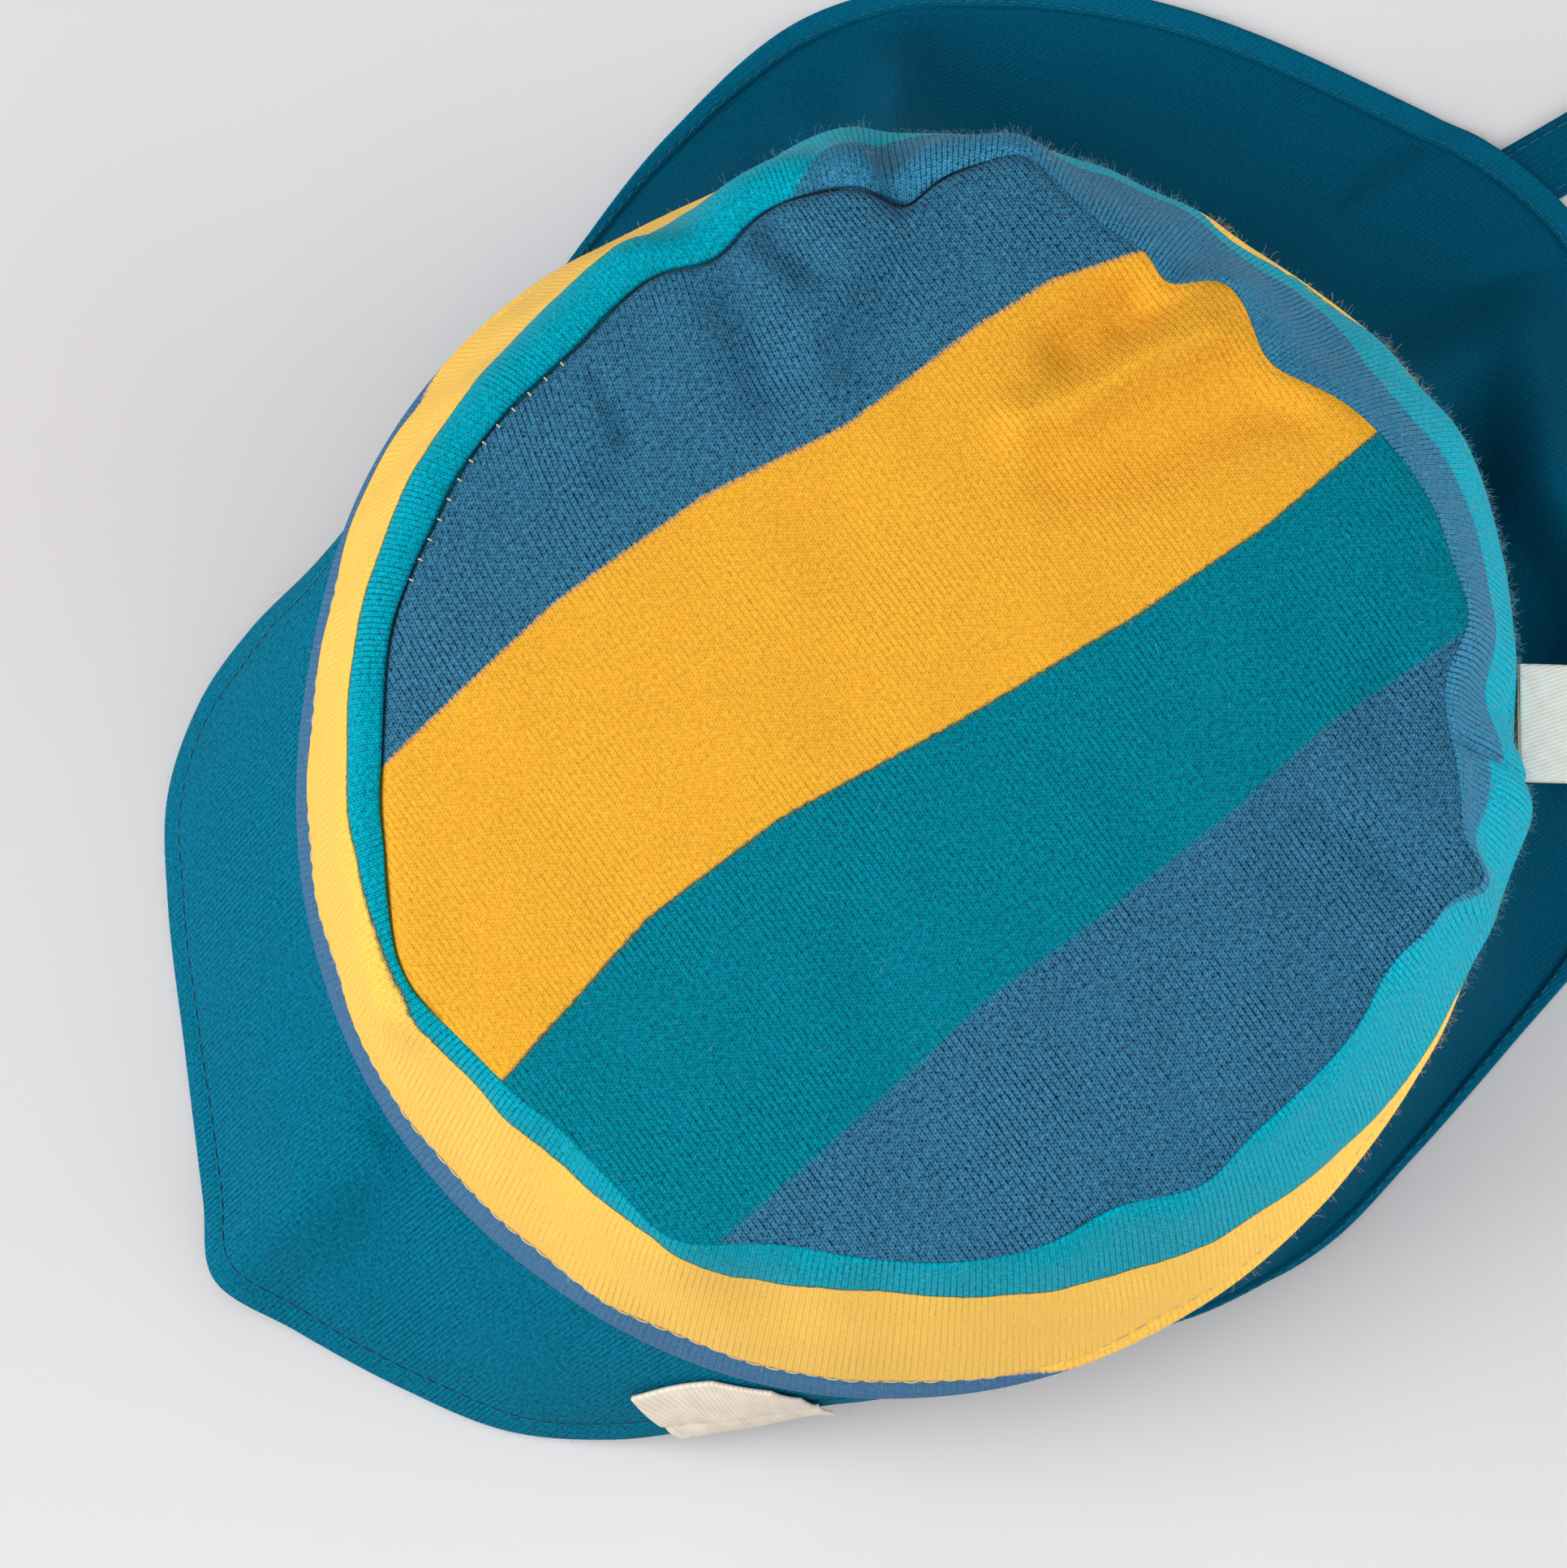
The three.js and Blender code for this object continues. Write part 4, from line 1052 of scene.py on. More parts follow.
def ribbon_mesh(name, rings, cloth):
    """The ribbon's skin, closed at both ends by a flat cap."""
    columns, places = rings.shape[:2]
    faces, lies = skin(cloth, columns, places, columns - 1, places)
    for c, order in ((0, range(places)), (columns - 1, range(places - 1, -1, -1))):
        faces.append([c * places + q for q in order])
        lies.append(np.stack([cloth[c, q] for q in order]))
    return smooth_piece(name, cloth_mesh(name, rings.reshape(-1, 3), faces, lies))


ties = {}
tie_sides = {}
for name in TIES:
    rings, cloth, line, side, up = tie_ribbon(name)
    ties[name] = ribbon_mesh(name + "_jersey", rings, cloth)
    ties[name].data.materials.append(flap_jersey)
    tie_sides[name] = (line, side, up)
    length = np.linalg.norm(np.diff(line, axis=0), axis=-1).sum()
    print(name, "is", round(length), "mm long and", round(area_of(ties[name]), 5), "square metres")

# %% [markdown]
# ## The neck flap
#
# A single ply of jersey with a turned hem, sewn to the band's foot. It drops first and flares last, so
# near the crown it hangs nearly upright and its hem lies on the table. The hem is twice as thick, its
# inner edge is a dark crease, and a row of stitches runs just outside that crease.

# %% The flap's face
FLAP_WALL = 1.4
HEM_WIDTH = 6.5
HEM_EXTRA = 0.8
FLAP_EDGE = [
    (-119, 78.6, 26), (-107, 78.2, 14), (-97, 79.6, 7), (-86, 85.3, 1.6), (-75, 93.6, 0.8),
    (-62, 105.0, 0.8), (-48, 110.0, 0.8), (-35, 111.8, 0.8), (-20, 114.0, 0.8), (-7, 118.6, 0.8),
    (8, 118.8, 0.8), (22, 115.6, 0.8), (35, 109.6, 0.8), (48, 99.6, 1.0), (62, 90.6, 1.8),
    (75, 87.2, 3.2), (86, 87.0, 6.4), (97, 85.4, 10), (107, 83.6, 17), (119, 84.6, 27),
]
FLAP_FOLDS = [(-66, -1.5, 4), (-55, 4.2, 4), (-44, -3.0, 6), (0, 4.5, 4), (13, -4.0, 6), (58, 1.6, 6)]
# Where the flap arches up again before its hem: turn, height, spread in degrees.
FLAP_ARCHES = [(12, 20, 9), (30, 17, 9)]
FLAP_COLUMNS = 440
FLARE = 1.55
# How abruptly the flap drops from the crown: at the back it hangs straight down first.
DROP = [(-119, 1.75), (-50, 1.75), (-18, 3.0), (30, 3.6), (50, 2.4), (75, 1.75), (119, 1.75)]

flap_edge, _ = edge_walk([at(t, r, h) for t, r, h in FLAP_EDGE], FLAP_COLUMNS)
flap_turn = turn_of(flap_edge)
flap_root = foot_points(flap_turn)
flap_reach = np.linalg.norm(flap_edge - flap_root, axis=-1)
flap_square = flap_reach * slant_of(flap_edge, flap_root) * FLARE
hem_start = np.maximum(0.4, 1 - HEM_WIDTH / flap_square)
pull_in = 1 - FLAP_WALL / 2 / flap_reach


def flap_face(out):
    """Upper face of the flap. out has a row for every column."""
    root, edge = flap_root[:, None], flap_edge[:, None]
    points = root + (edge - root) * (out**FLARE)[..., None]
    dropped = 1 - (1 - out) ** by_turn(flap_turn, DROP)[:, None]
    points[..., 2] = root[..., 2] + (edge[..., 2] - root[..., 2]) * dropped
    turn = flap_turn[:, None]
    folds = bumps(turn, FLAP_FOLDS)
    arch = bumps(turn, FLAP_ARCHES) * bump(out - 0.62, 0.17)
    points[..., 2] += arch * smoothstep(0, 0.2, out) * smoothstep(1, 0.85, out)
    outward = at(turn, 1.0, 0.6)
    points = points + outward * (folds * np.sin(math.pi * out) ** 1.5)[..., None]
    return points


body = np.linspace(0, 1, 44)[:-1]
hem = stretches((0, 0.25, 12), (0.25, 1, 16))
start = hem_start[:, None]
out = np.concatenate([start * body, start + (pull_in[:, None] - start) * hem], 1)
outer = flap_face(out)
normals = face_normals(outer, False)
into_hem = (out - start) * flap_square[:, None]
flap_uneven = waves(31, 10, 14, 40)
loose = 0.35 * flap_uneven(outer[..., 0], outer[..., 1])
loose = loose * smoothstep(0, 0.12, out) * smoothstep(-0.5, -6, into_hem)
puff = HEM_EXTRA * smoothstep(-0.2, 0.9, into_hem)
crease = 0.45 * bump(into_hem + 0.25, 0.4) + 0.28 * bump(into_hem - 1.2, 0.45)
lowest = ground_height(outer) + FLAP_WALL
outer = outer + normals * loose[..., None]
outer[..., 2] = np.maximum(outer[..., 2], lowest)
middle_face = outer.copy()
outer = outer + normals * (puff - crease)[..., None]
inner = middle_face - normals * FLAP_WALL
inner[..., 2] = np.maximum(inner[..., 2], ground_height(inner))
rings = cloth_wall(outer, inner, FLAP_WALL)
rings[..., 2] = np.maximum(rings[..., 2], 0)
u, v = hanging_cloth(outer, flap_root, flap_turn)
# The third cloth coordinate is 1 on the hem, where the flap's colour is painted lighter: painted light.
cloth = lying(u * RIB / PLAIN_RIB, v, smoothstep(-0.2, 0.9, into_hem), outer.shape[1], rings.shape[1])
flap = ring_mesh("neck_flap_jersey", rings, cloth, wraps=False, shown=outer.shape[1] + 3, caps=outer.shape[1])
flap.data.materials.append(flap_jersey)
flap_outer, flap_normals, flap_into_hem = outer, normals, into_hem
measure("flap", flap)

# %% [markdown]
# ## The woven labels
#
# Two small labels of woven satin, left bare here: one lies on the peak, caught in the seam, and one is
# folded in half and caught in the foot of the band's join. Satin ribbon is smoother and brighter than
# the jersey and shows a fine slanting rib. The first is a strip of the peak's own face, lifted off it.
# The second is a folded ribbon: its section is a narrow loop, drawn once and carried across the ribbon's
# width.

# %% Woven satin
SATIN_RIB = 0.55
SATIN_RELIEF = 0.00008


def satin_material(name, shaded, lit):
    material, tree, shader = new_material(name, 0.55, 0.35)
    place = add(tree, "ShaderNodeAttribute", attribute_name="cloth")
    split = add(tree, "ShaderNodeSeparateXYZ", {0: place.outputs["Vector"]})
    # The rib's real pitch is 0.25 mm. It is drawn at 0.55 mm, the least that shows.
    slope = {0: split.outputs[1], 1: 0.35, 2: split.outputs[0]}
    slanted = add(tree, "ShaderNodeMath", slope, operation="MULTIPLY_ADD")
    turned = add(tree, "ShaderNodeMath", {0: slanted, 1: 2 * math.pi / SATIN_RIB}, operation="MULTIPLY")
    rib = add(tree, "ShaderNodeMath", {0: turned}, operation="SINE")
    flat = add(tree, "ShaderNodeCombineXYZ", {0: split.outputs[0], 1: split.outputs[1]})
    cloudy = add(tree, "ShaderNodeTexNoise", {"Vector": flat, "Scale": 0.5, "Detail": 3.0})
    cloudier = {0: rib, 1: 0.16, 2: cloudy.outputs["Fac"]}
    uneven = add(tree, "ShaderNodeMath", cloudier, operation="MULTIPLY_ADD")
    ramp = add(tree, "ShaderNodeValToRGB", {0: uneven})
    for element, position, code in zip(ramp.color_ramp.elements, (0.2, 0.7), (shaded, lit)):
        element.position = position
        element.color = linear(code)
    tree.links.new(ramp.outputs["Color"], shader.inputs["Base Color"])
    relief = add(tree, "ShaderNodeBump", {"Height": rib, "Strength": 0.35, "Distance": SATIN_RELIEF})
    tree.links.new(relief.outputs["Normal"], shader.inputs["Normal"])
    return material


side_satin = satin_material("woven_satin_label_cream", "#e3d3bd", "#f8ecdb")
# The back label's satin is the side label's painted lighter: painted light where the crown's shade falls on
# it.
back_satin = satin_material("woven_satin_label_white", "#f3e9da", "#fffdf5")

# %% The label on the peak
LABEL_WALL = 0.6
LABEL_LIFT = 0.45
LABEL_LENGTH, LABEL_DEPTH = 20, 8
SHORT_OF_EDGE = 0.985
# From its front end to its back end: turn and share of the peak's width at its upper and its lower edge.
SIDE_LABEL = [
    (149.5, 0.5, 144.8, 1.0), (143.5, 0.14, 141.5, 1.0), (138.5, 0.08, 137.0, 1.0),
    (136.0, 0.24, 133.2, 1.0),
]


def grid_at(grid, column, row):
    """A grid of vectors at fractional columns and rows."""
    i = np.clip(column.astype(int), 0, grid.shape[0] - 2)
    j = np.clip(row.astype(int), 0, grid.shape[1] - 2)
    a, b = (column - i)[..., None], (row - j)[..., None]
    near = grid[i, j] * (1 - a) + grid[i + 1, j] * a
    far = grid[i, j + 1] * (1 - a) + grid[i + 1, j + 1] * a
    return near * (1 - b) + far * b


def side_label():
    u, v = np.meshgrid(np.linspace(0, 1, 61), np.linspace(0, 1, 31), indexing="ij")
    rows = np.linspace(0, 1, len(SIDE_LABEL))
    upper_turn, upper_out, lower_turn, lower_out = (
        np.interp(1 - u, rows, [row[k] for row in SIDE_LABEL]) for k in range(4)
    )
    turn = upper_turn + (lower_turn - upper_turn) * v
    share_wanted = (upper_out + (lower_out - upper_out) * v) * SHORT_OF_EDGE
    column = np.interp(turn, peak_turn % 360, np.arange(PEAK_COLUMNS))
    row = np.interp(share_wanted, outs, np.arange(len(outs)))
    base = grid_at(peak_outer, column, row)
    up = unit(grid_at(peak_normals, column, np.minimum(row, len(outs) - 6.0)))
    curl = 0.35 * bump(u, 0.12) * v + 0.25 * bump(1 - u, 0.1) + 0.12 * np.sin(9 * u + 3 * v)
    outer = base + up * (LABEL_LIFT + LABEL_WALL + np.maximum(0, curl))[..., None]
    inner = outer - up * LABEL_WALL
    rings = np.concatenate([outer, inner[:, ::-1]], 1)
    cloth = lying(u * LABEL_LENGTH, v * LABEL_DEPTH, 0 * u, outer.shape[1], rings.shape[1])
    return ring_mesh("side_label_satin", rings, cloth, wraps=False, shown=0, caps=outer.shape[1])


peak_label = side_label()
peak_label.data.materials.append(side_satin)
measure("side label", peak_label)

# %% The folded label
BACK_LABEL_TURN = 36.0
BACK_LABEL_WIDTH = 15.5
BACK_LABEL_REACH = 8.0
BACK_LABEL_SLOPE = math.radians(-14)
PLY = 0.42
ABOVE_FOOT = np.array([0, 0, 1.1])
LOOP = 0.55  # half the height of the fold, between the plies' middles


def folded_section():
    """The section of a folded ribbon, as (out, up) places: round the outside, then back along the inside."""
    fold = np.linspace(math.pi / 2, -math.pi / 2, 13)
    straight = np.linspace(0, BACK_LABEL_REACH - LOOP - PLY / 2, 24)[:-1]
    skins = []
    for radius in (LOOP + PLY / 2, LOOP - PLY / 2):
        pinch = LOOP * 0.35 * bump(straight, 1.6)
        top = np.stack([straight, radius - pinch], -1)
        round_ = np.stack([straight[-1] + np.cos(fold) * radius, np.sin(fold) * radius], -1)
        low = np.stack([straight[::-1], -(radius - pinch[::-1])], -1)
        skins.append(np.concatenate([top, round_, low]))
    return np.concatenate([skins[0], skins[1][::-1]])


section = folded_section()
across = np.linspace(-1, 1, 33) * BACK_LABEL_WIDTH / 2
root = foot_points(np.array([BACK_LABEL_TURN]), -0.5)[0] + ABOVE_FOOT
outward = at(BACK_LABEL_TURN, 1.0, 0.0)
sideways = np.array([outward[1], -outward[0], 0])
slope_out = outward * math.cos(BACK_LABEL_SLOPE) + np.array([0, 0, math.sin(BACK_LABEL_SLOPE)])
slope_up = np.cross(sideways, slope_out)
slope_up = slope_up if slope_up[2] > 0 else -slope_up
places = root + sideways * across[:, None, None] + slope_out * section[None, :, :1]
places = places + slope_up * section[None, :, 1:]
walked = np.concatenate([[0], np.cumsum(np.linalg.norm(np.diff(section, axis=0), axis=-1))])
cloth = np.stack(np.broadcast_arrays(across[:, None], walked[None, :], 0.0), -1)
back_label = ribbon_mesh("back_label_satin", places, cloth)
back_label.data.materials.append(back_satin)
measure("back label", back_label)

# %% [markdown]
# ## Stitches
#
# Every row of stitches is the same thing along another path, so one Geometry Nodes tree makes them all:
# it walks a path in even steps and puts a short bent thread on each. The path is a line of points that
# each carry the cloth's outward direction, so the threads lie on the cloth on slopes too. Modelling the
# threads, instead of drawing them, makes them catch the light and sink between the plies.

# %% The stitching tree
def geometry_tree(name, source, sizes, kinds, result):
    """An empty Geometry Nodes tree with its sockets: a mesh, sizes in metres, other kinds, the result."""
    tree = bpy.data.node_groups.new(name, "GeometryNodeTree")
    tree.interface.new_socket(source, in_out="INPUT", socket_type="NodeSocketGeometry")
    for size, value in sizes.items():
        tree.interface.new_socket(size, in_out="INPUT", socket_type="NodeSocketFloat").default_value = value
    for other, kind in kinds.items():
        tree.interface.new_socket(other, in_out="INPUT", socket_type=kind)
    tree.interface.new_socket(result, in_out="OUTPUT", socket_type="NodeSocketGeometry")
    return tree


def stitch_tree():
    sizes = {"Spacing": 0.0022, "Length": 0.0016, "Thread radius": 0.00014, "Rise": 0.0002, "Turn": 0.0}
    tree = geometry_tree("row_of_stitches", "Path", sizes, {"Thread": "NodeSocketMaterial"}, "Stitches")
    given = add(tree, "NodeGroupInput")
    path = add(tree, "GeometryNodeMeshToCurve", {"Mesh": given.outputs["Path"]})
    evenly = {"Curve": path, "Length": given.outputs["Spacing"]}
    walked = add(tree, "GeometryNodeResampleCurve", evenly, mode="LENGTH")
    half = add(tree, "ShaderNodeMath", {0: given.outputs["Length"], 1: 0.5}, operation="MULTIPLY")
    minus = add(tree, "ShaderNodeMath", {0: half, 1: -1.0}, operation="MULTIPLY")
    twice = add(tree, "ShaderNodeMath", {0: given.outputs["Rise"], 1: 2.0}, operation="MULTIPLY")
    start = add(tree, "ShaderNodeCombineXYZ", {0: minus})
    top = add(tree, "ShaderNodeCombineXYZ", {2: twice})
    end = add(tree, "ShaderNodeCombineXYZ", {0: half})
    ends = {"Resolution": 6, "Start": start, "Middle": top, "End": end}
    bent = add(tree, "GeometryNodeCurveQuadraticBezier", ends)
    section = {"Resolution": 6, "Radius": given.outputs["Thread radius"]}
    circle = add(tree, "GeometryNodeCurvePrimitiveCircle", section)
    thread = add(tree, "GeometryNodeCurveToMesh", {"Curve": bent, "Profile Curve": circle, "Fill Caps": True})
    tangent = add(tree, "GeometryNodeInputTangent")
    upward = add(tree, "GeometryNodeInputNamedAttribute", {"Name": "up"}, data_type="FLOAT_VECTOR")
    along = add(tree, "FunctionNodeAlignRotationToVector", {"Vector": tangent}, axis="X")
    outward = {"Rotation": along, "Vector": upward.outputs["Attribute"]}
    lying_on = add(tree, "FunctionNodeAlignRotationToVector", outward, axis="Z", pivot_axis="X")
    spin = add(tree, "ShaderNodeCombineXYZ", {2: given.outputs["Turn"]})
    as_turn = add(tree, "FunctionNodeEulerToRotation", {"Euler": spin})
    both = {"Rotation": lying_on, "Rotate By": as_turn}
    turned = add(tree, "FunctionNodeRotateRotation", both, rotation_space="LOCAL")
    on_path = {"Points": walked, "Instance": thread, "Rotation": turned}
    placed = add(tree, "GeometryNodeInstanceOnPoints", on_path)
    real = add(tree, "GeometryNodeRealizeInstances", {"Geometry": placed})
    coloured = add(tree, "GeometryNodeSetMaterial", {"Geometry": real, "Material": given.outputs["Thread"]})
    add(tree, "NodeGroupOutput", {"Stitches": coloured})
    return tree


stitching = stitch_tree()


def made_by(tree, source, name, **inputs):
    """Runs a tree on an object's mesh and keeps the result as a plain mesh of its own."""
    host = show(name + "_host", source)
    modifier = host.modifiers.new("made", "NODES")
    modifier.node_group = tree
    for item in tree.interface.items_tree:
        if item.in_out == "INPUT" and item.name.replace(" ", "_") in inputs:
            modifier[item.identifier] = inputs[item.name.replace(" ", "_")]
    evaluated = host.evaluated_get(bpy.context.evaluated_depsgraph_get())
    mesh = bpy.data.meshes.new_from_object(evaluated)
    bpy.data.objects.remove(host)
    mesh.name = name
    made = smooth_piece(name, mesh)
    print(name, len(mesh.polygons), "faces")
    return made


def path_mesh(name, lines):
    """Lines of points with the outward direction at each, as a mesh of edges. lines: (points, ups), points in
    millimetres."""
    points = np.concatenate([p for p, _ in lines])
    ups = np.concatenate([u for _, u in lines])
    edges = []
    start = 0
    for p, _ in lines:
        edges += [(start + k, start + k + 1) for k in range(len(p) - 1)]
        start += len(p)
    mesh = bpy.data.meshes.new(name)
    mesh.from_pydata(metres(points).tolist(), edges, [])
    upward = mesh.attributes.new("up", "FLOAT_VECTOR", "POINT")
    upward.data.foreach_set("vector", ups.astype(np.float32).ravel())
    return mesh


def thread_material(name, code):
    """Spun polyester thread: a little shine, twisted plies seen as a fine change of shade."""
    material, tree, shader = new_material(name, 0.6, 0.25)
    place = add(tree, "ShaderNodeTexCoord")
    fine = {"Vector": place.outputs["Object"], "Scale": 2600.0, "Detail": 1.0}
    twist = add(tree, "ShaderNodeTexNoise", fine)
    shade = add(tree, "ShaderNodeMapRange", {"Value": twist.outputs["Fac"], "To Min": 0.72, "To Max": 1.2})
    mixed = add(tree, "ShaderNodeVectorMath", {0: linear(code)[:3], 1: shade}, operation="MULTIPLY")
    tree.links.new(mixed.outputs[0], shader.inputs["Base Color"])
    return material


cream_thread = thread_material("spun_polyester_thread_cream", "#d9cba6")
petrol_thread = thread_material("spun_polyester_thread_petrol", "#1a6a82")
print("stitching tree has", len(stitching.nodes), "nodes")

# %% [markdown]
# The rows: the hem of the flap, the edge of the peak, the foot of the band, a few threads that show in
# the groove where the band rolls away from the seam, the edges of the ties and the fold of the small
# back label.

# %% Rows of stitches
def hem_row(into):
    """A line on the flap, into millimetres outside the hem's inner edge."""
    rows = np.arange(flap_outer.shape[1])
    row = np.array([np.interp(into, flap_into_hem[i], rows) for i in range(FLAP_COLUMNS)])
    column = np.arange(FLAP_COLUMNS, dtype=float)
    return grid_at(flap_outer, column, row), grid_at(flap_normals, column, row)


def peak_row(inside):
    rows = np.arange(peak_outer.shape[1])
    row = np.array([np.interp(-inside, -peak_from_edge[i], rows) for i in range(PEAK_COLUMNS)])
    column = np.arange(PEAK_COLUMNS, dtype=float)
    keep = (row > 2) & (column > 3) & (column < PEAK_COLUMNS - 4)
    return grid_at(peak_outer, column[keep], row[keep]), grid_at(peak_normals, column[keep], row[keep])


band_normals = face_normals(band_outer, True)


def band_row(turn, rise):
    column = np.interp(turn, band_turns, np.arange(len(band_turns)))
    row = np.interp(-rise, -band_rises, np.arange(len(band_rises)))
    return grid_at(band_outer, column, row), grid_at(band_normals, column, row)


def lifted(line, lift):
    points, ups = line
    return points + ups * lift, ups


# The threads in the groove lie this far inside the seam, a little lower than the tip at the second distance.
GROOVE_MIDDLE, TIP_BESIDE, LOWER = 1.25, 1.9, 0.25


def over_groove(turn):
    """A line over the middle of the dark groove, nearly level with the tip beside it."""
    radius = seam_radius(turn)
    beside = tip_face(turn, 1 - TIP_BESIDE / radius)
    return at(turn, radius - GROOVE_MIDDLE, beside[..., 2] - LOWER)


foot_turns = np.linspace(JOIN_TURN + 2, JOIN_TURN + 358, 900)
OPEN_FROM, OPEN_TO = 226, 256  # turns between which the groove shows its threads
groove_turns = np.linspace(OPEN_FROM, OPEN_TO, 90)
tie_rows = []
for line, side, up in tie_sides.values():
    for place in (-TIE_STITCHES, TIE_STITCHES):
        tie_rows.append((line + side * place + up * (TIE_WALL - 0.1), up))

# Each row: lines, spacing, length of a stitch, thread, turn of every stitch about its own upright.
band_rises_at_stitches = by_turn(foot_turns, TOPSTITCH) + STITCHES_ABOVE
ROWS = {
    "hem_stitches": ([lifted(hem_row(1.25), 0.05)], 0.0021, 0.0013, petrol_thread, 0.0),
    "peak_stitches": ([lifted(peak_row(PEAK_STITCH_IN), 0.05)], 0.0024, 0.0017, petrol_thread, 0.0),
    "band_stitches": (
        [lifted(band_row(foot_turns, band_rises_at_stitches), 0.03)], 0.0026, 0.0018, cream_thread, 0.0
    ),
    "seam_stitches": (
        [(over_groove(groove_turns), at(groove_turns, 0.0, 1.0))], 0.0027, 0.0005, cream_thread, math.pi / 2
    ),
    "tie_stitches": (tie_rows, 0.0022, 0.0015, petrol_thread, 0.0),
}
THREAD = {"Thread_radius": 0.00012, "Rise": 0.00016}
extras = {}
for name, (lines, spacing, length, thread, turn) in ROWS.items():
    path = path_mesh(name + "_path", lines)
    sizes = {"Spacing": spacing, "Length": length, "Turn": turn, **THREAD}
    extras[name] = made_by(stitching, path, name, Thread=thread, **sizes)

# %% [markdown]
# ## Fuzz
#
# Washed cotton jersey is covered in loose fibre ends. They are invisible one by one on the cloth's face,
# but they soften its outline and scatter light. A second tree strews them: straight hairs are set on
# random points of the face that shows, leaning any way, and a noise field then bends every one
# differently. They keep the cloth coordinates of the place they grow from, so a hair on a yellow stripe
# is yellow.

# %% The fuzz tree
def fuzz_tree():
    sizes = {"Density": 100000.0, "Length": 0.0018, "Fibre radius": 0.00002, "Curl": 0.0012}
    kinds = {"Seed": "NodeSocketInt", "Fibre": "NodeSocketMaterial"}
    tree = geometry_tree("loose_fibres", "Cloth", sizes, kinds, "Fuzz")
    given = add(tree, "NodeGroupInput")
    fuzz_and_sheen = add(tree, "GeometryNodeInputNamedAttribute", {"Name": "fuzz_and_sheen"}, data_type="FLOAT")
    seed = given.outputs["Seed"]
    share = {0: fuzz_and_sheen.outputs["Attribute"], 1: given.outputs["Density"]}
    density = add(tree, "ShaderNodeMath", share, operation="MULTIPLY")
    face = {"Mesh": given.outputs["Cloth"], "Density": density, "Seed": seed}
    strewn = add(tree, "GeometryNodeDistributePointsOnFaces", face)
    any_way = {0: (-1.0, -1.0, -1.0), 1: (1.0, 1.0, 1.0), "Seed": seed}
    lean = add(tree, "FunctionNodeRandomValue", any_way, data_type="FLOAT_VECTOR")
    leaning = add(tree, "ShaderNodeVectorMath", {0: strewn.outputs["Normal"], 1: lean}, operation="ADD")
    turned = add(tree, "FunctionNodeAlignRotationToVector", {"Vector": leaning}, axis="Z")
    tall = add(tree, "ShaderNodeCombineXYZ", {2: given.outputs["Length"]})
    straight = add(tree, "GeometryNodeCurvePrimitiveLine", {"End": tall})
    hair = add(tree, "GeometryNodeResampleCurve", {"Curve": straight.outputs["Curve"], "Count": 5})
    other = add(tree, "ShaderNodeMath", {0: seed, 1: 7.0}, operation="ADD")
    size = add(tree, "FunctionNodeRandomValue", {2: 0.35, 3: 1.25, "Seed": other}, data_type="FLOAT")
    hair_on_point = {"Points": strewn, "Instance": hair, "Rotation": turned, "Scale": size.outputs[1]}
    placed = add(tree, "GeometryNodeInstanceOnPoints", hair_on_point)
    hairs = add(tree, "GeometryNodeRealizeInstances", {"Geometry": placed})
    place = add(tree, "GeometryNodeInputPosition")
    field = add(tree, "ShaderNodeTexNoise", {"Vector": place, "Scale": 620.0, "Detail": 1.0})
    colour = {0: field.outputs["Color"], 1: (0.5, 0.5, 0.5)}
    centred = add(tree, "ShaderNodeVectorMath", colour, operation="SUBTRACT")
    up_hair = add(tree, "GeometryNodeSplineParameter")
    more_at_end = {0: up_hair.outputs["Factor"], 1: given.outputs["Curl"]}
    reach = add(tree, "ShaderNodeMath", more_at_end, operation="MULTIPLY")
    twice = add(tree, "ShaderNodeMath", {0: reach, 1: 4.0}, operation="MULTIPLY")
    bend = add(tree, "ShaderNodeVectorMath", {0: centred, "Scale": twice}, operation="SCALE")
    bent = add(tree, "GeometryNodeSetPosition", {"Geometry": hairs.outputs["Geometry"], "Offset": bend})
    section = {"Resolution": 3, "Radius": given.outputs["Fibre radius"]}
    circle = add(tree, "GeometryNodeCurvePrimitiveCircle", section)
    solid = add(tree, "GeometryNodeCurveToMesh", {"Curve": bent, "Profile Curve": circle})
    real = add(tree, "GeometryNodeRealizeInstances", {"Geometry": solid})
    coloured = add(tree, "GeometryNodeSetMaterial", {"Geometry": real, "Material": given.outputs["Fibre"]})
    add(tree, "NodeGroupOutput", {"Fuzz": coloured})
    return tree


fuzz = fuzz_tree()


# Cotton fibre ends have the yarn's colour, but paler, because a single fibre lets light through. On plain
# cloth that is one colour, so it is set on the shader itself. On the stripes the ramp is mixed with the pale
# colour.
FIBRE_ROUGHNESS, FIBRE_SPECULAR = 0.9, 0.1
LIT_FIBRE = linear("#dfe4df")
STRIPED_PALENESS, PETROL_PALENESS = 0.45, 0.03

striped_fibre, tree, shader = new_material("cotton_fibre_ends_striped", FIBRE_ROUGHNESS, FIBRE_SPECULAR)
place = add(tree, "ShaderNodeAttribute", attribute_name="cloth")
split = add(tree, "ShaderNodeSeparateXYZ", {0: place.outputs["Vector"]})
# The fibres take the band's colours, which are painted paler: painted light.
yarn, _ = stripe_colours(tree, split.outputs[2], BAND_COLOURS_PAINTED_PALER, BAND_DEPTHS)
paler = add(tree, "ShaderNodeMix", {0: STRIPED_PALENESS, 6: yarn, 7: LIT_FIBRE}, data_type="RGBA")
tree.links.new(paler.outputs[2], shader.inputs["Base Color"])

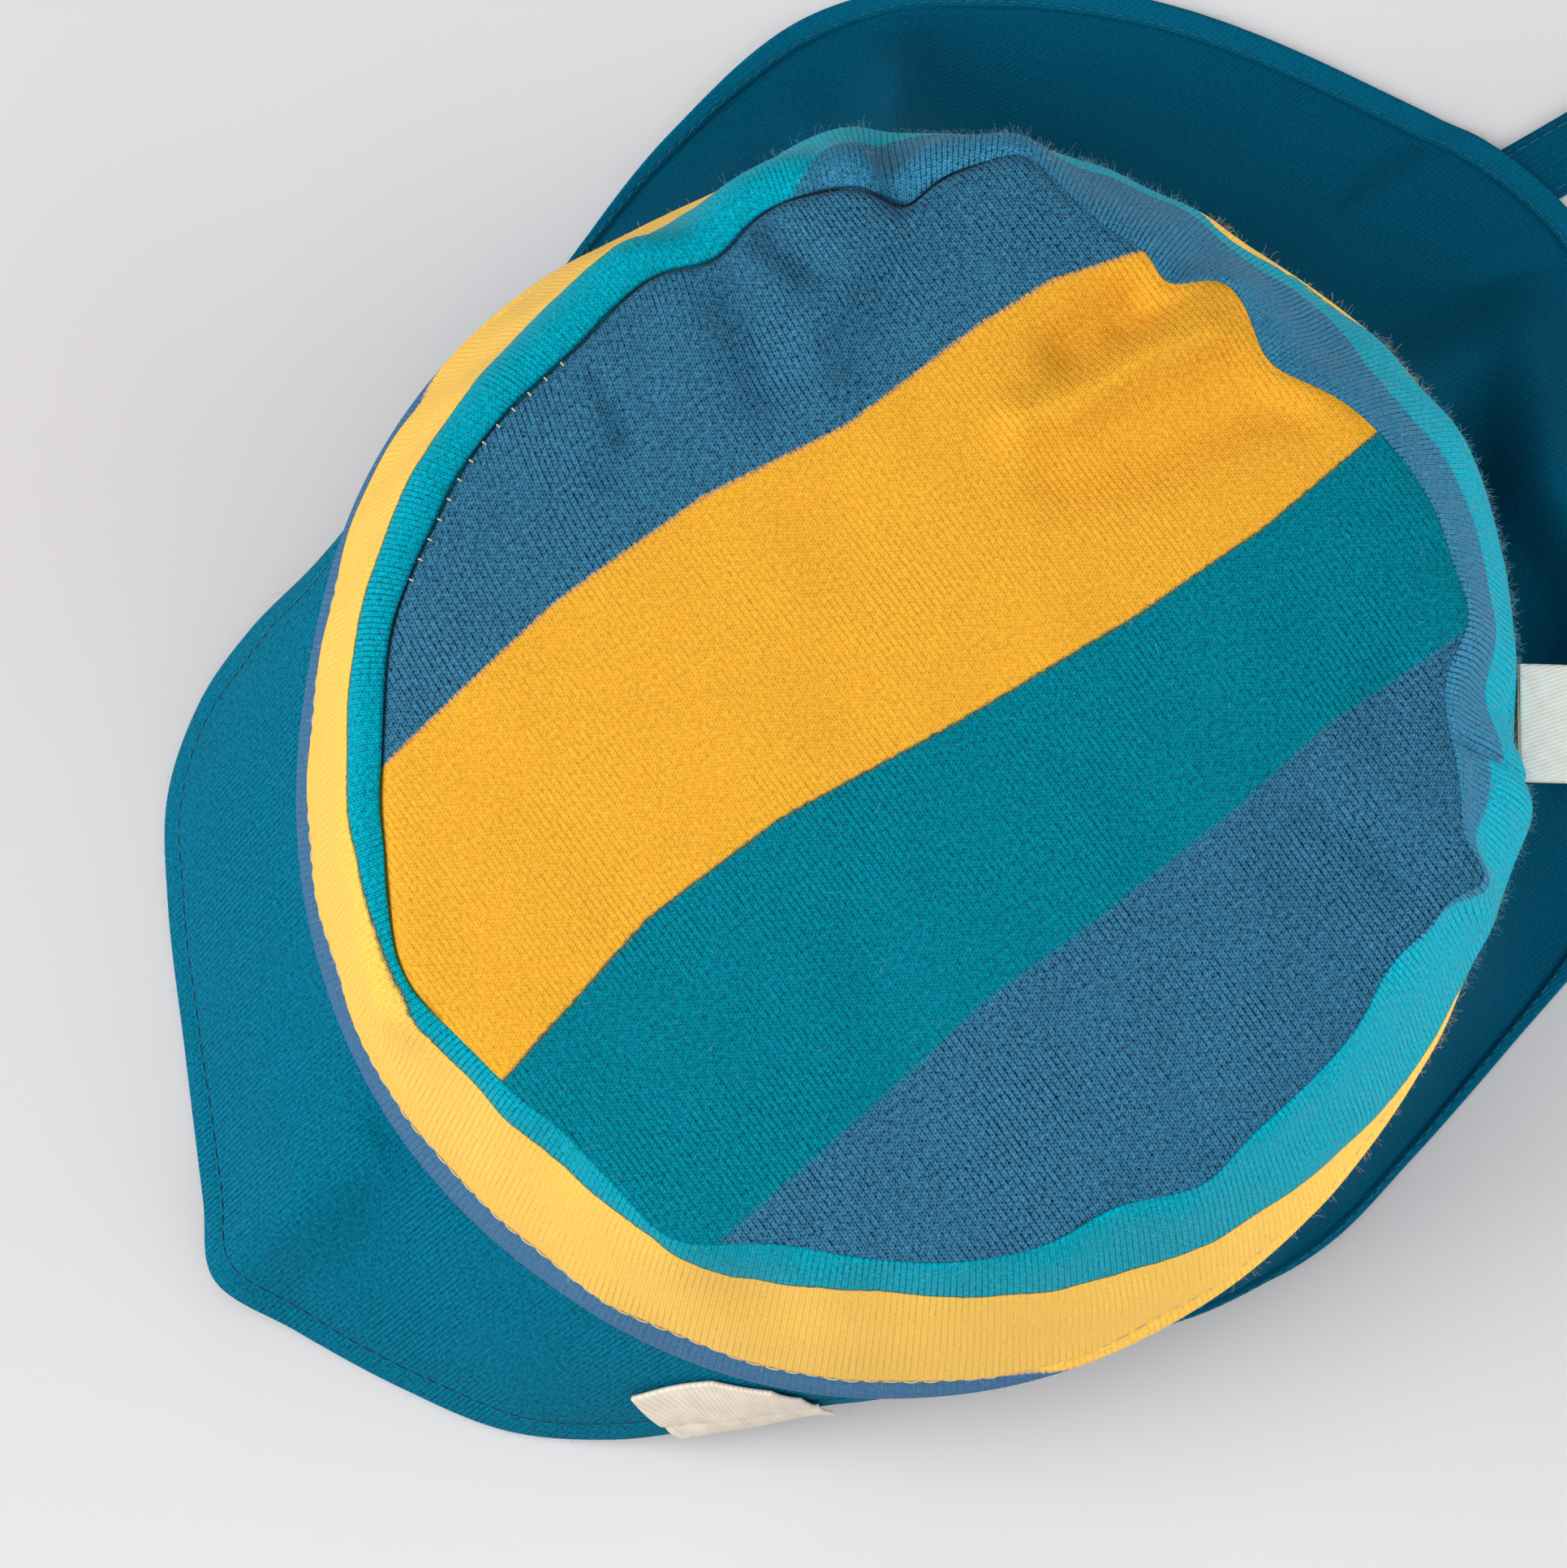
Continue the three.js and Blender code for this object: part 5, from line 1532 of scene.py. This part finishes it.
petrol_fibre, _, shader = new_material("cotton_fibre_ends_petrol", FIBRE_ROUGHNESS, FIBRE_SPECULAR)
paler = [dye + (lit - dye) * PETROL_PALENESS for dye, lit in zip(linear(PETROL), LIT_FIBRE)]
shader.inputs["Base Color"].default_value = paler

# Each fuzz: its cloth, hairs a square metre where the fuzz attribute is 1, their length, their material and
# the seed.
FUZZ = {
    "band_fuzz": (band, 220000.0, 0.0007, striped_fibre, 1),
    "tip_fuzz": (tip, 30000.0, 0.0008, striped_fibre, 2),
    "peak_fuzz": (peak, 45000.0, 0.0007, petrol_fibre, 3),
    "flap_fuzz": (flap, 45000.0, 0.0007, petrol_fibre, 4),
}
FIBRE = {"Fibre_radius": 0.000014, "Curl": 0.0012}
for name, (piece, density, length, fibre, seed) in FUZZ.items():
    sizes = {"Density": density, "Length": length, **FIBRE}
    extras[name] = made_by(fuzz, piece.data, name, Seed=seed, Fibre=fibre, **sizes)

# %% [markdown]
# ## Riding on the hat
#
# Nothing on a hat of cloth turns on a joint, so every piece rides on its one body. The cloth stands for
# the solid of the same part, and the stitches and fuzz go with the cloth that they are on. The table below
# also lists how large each piece of cloth was cut before it was sewn, and by what it is held: the band
# and the tip are held taut by their seam, the peak and the flap hang from the band's foot, and the ties
# lie on the table. Only the share of its cut area that each piece keeps is printed.

# %% Bind the pieces and print the share of its cut area that each sheet keeps
ON_BAND = ["crown_band_jersey"]
FROM_FOOT = ["crown_band_jersey", "table_top"]
# Piece, solid, slot, width and length as cut, how it is held, what it rests on, its area as cut where that
# isn't a rectangle, and the stitches and fuzz on it.
SHEETS = [
    (
        band, "crown_band", "band_jersey", (0.066, 0.490), "stretched", ["crown_tip_jersey"], None,
        ["band_stitches", "seam_stitches", "band_fuzz"],
    ),
    (tip, "crown_tip", "tip_jersey", (0.125, 0.155), "stretched", ON_BAND, 0.0150, ["tip_fuzz"]),
    (peak, "peak", "peak_jersey", (0.055, 0.170), "hung", FROM_FOOT, 0.0070, ["peak_stitches", "peak_fuzz"]),
    (flap, "neck_flap", "flap_jersey", (0.085, 0.3), "hung", FROM_FOOT, .0195, ["hem_stitches", "flap_fuzz"]),
    (ties["tie_left"], "tie_left", "tie_jersey", (0.0105, 0.232), "laid", ["table_top"], None, []),
    (ties["tie_right"], "tie_right", "tie_jersey", (0.0105, 0.166), "laid", ["table_top"], None, []),
    (peak_label, "side_label", "label_weave", (0.016, 0.028), "laid", ["peak_jersey"], None, []),
    (back_label, "back_label", "label_weave", (0.0155, 0.017), "folded", ON_BAND, None, []),
]
for piece, node, slot, cut, held, rests, cut_area, on_it in SHEETS:
    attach(piece, "root")
    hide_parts(node)
    for name in on_it:
        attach(extras[name], "root")
    share = area_of(piece) / (cut_area or cut[0] * cut[1])
    print(piece.name, "keeps", round(share, 2), "of its cut area")

# The stitches of both ties are one mesh, so they belong to neither sheet.
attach(extras["tie_stitches"], "root")
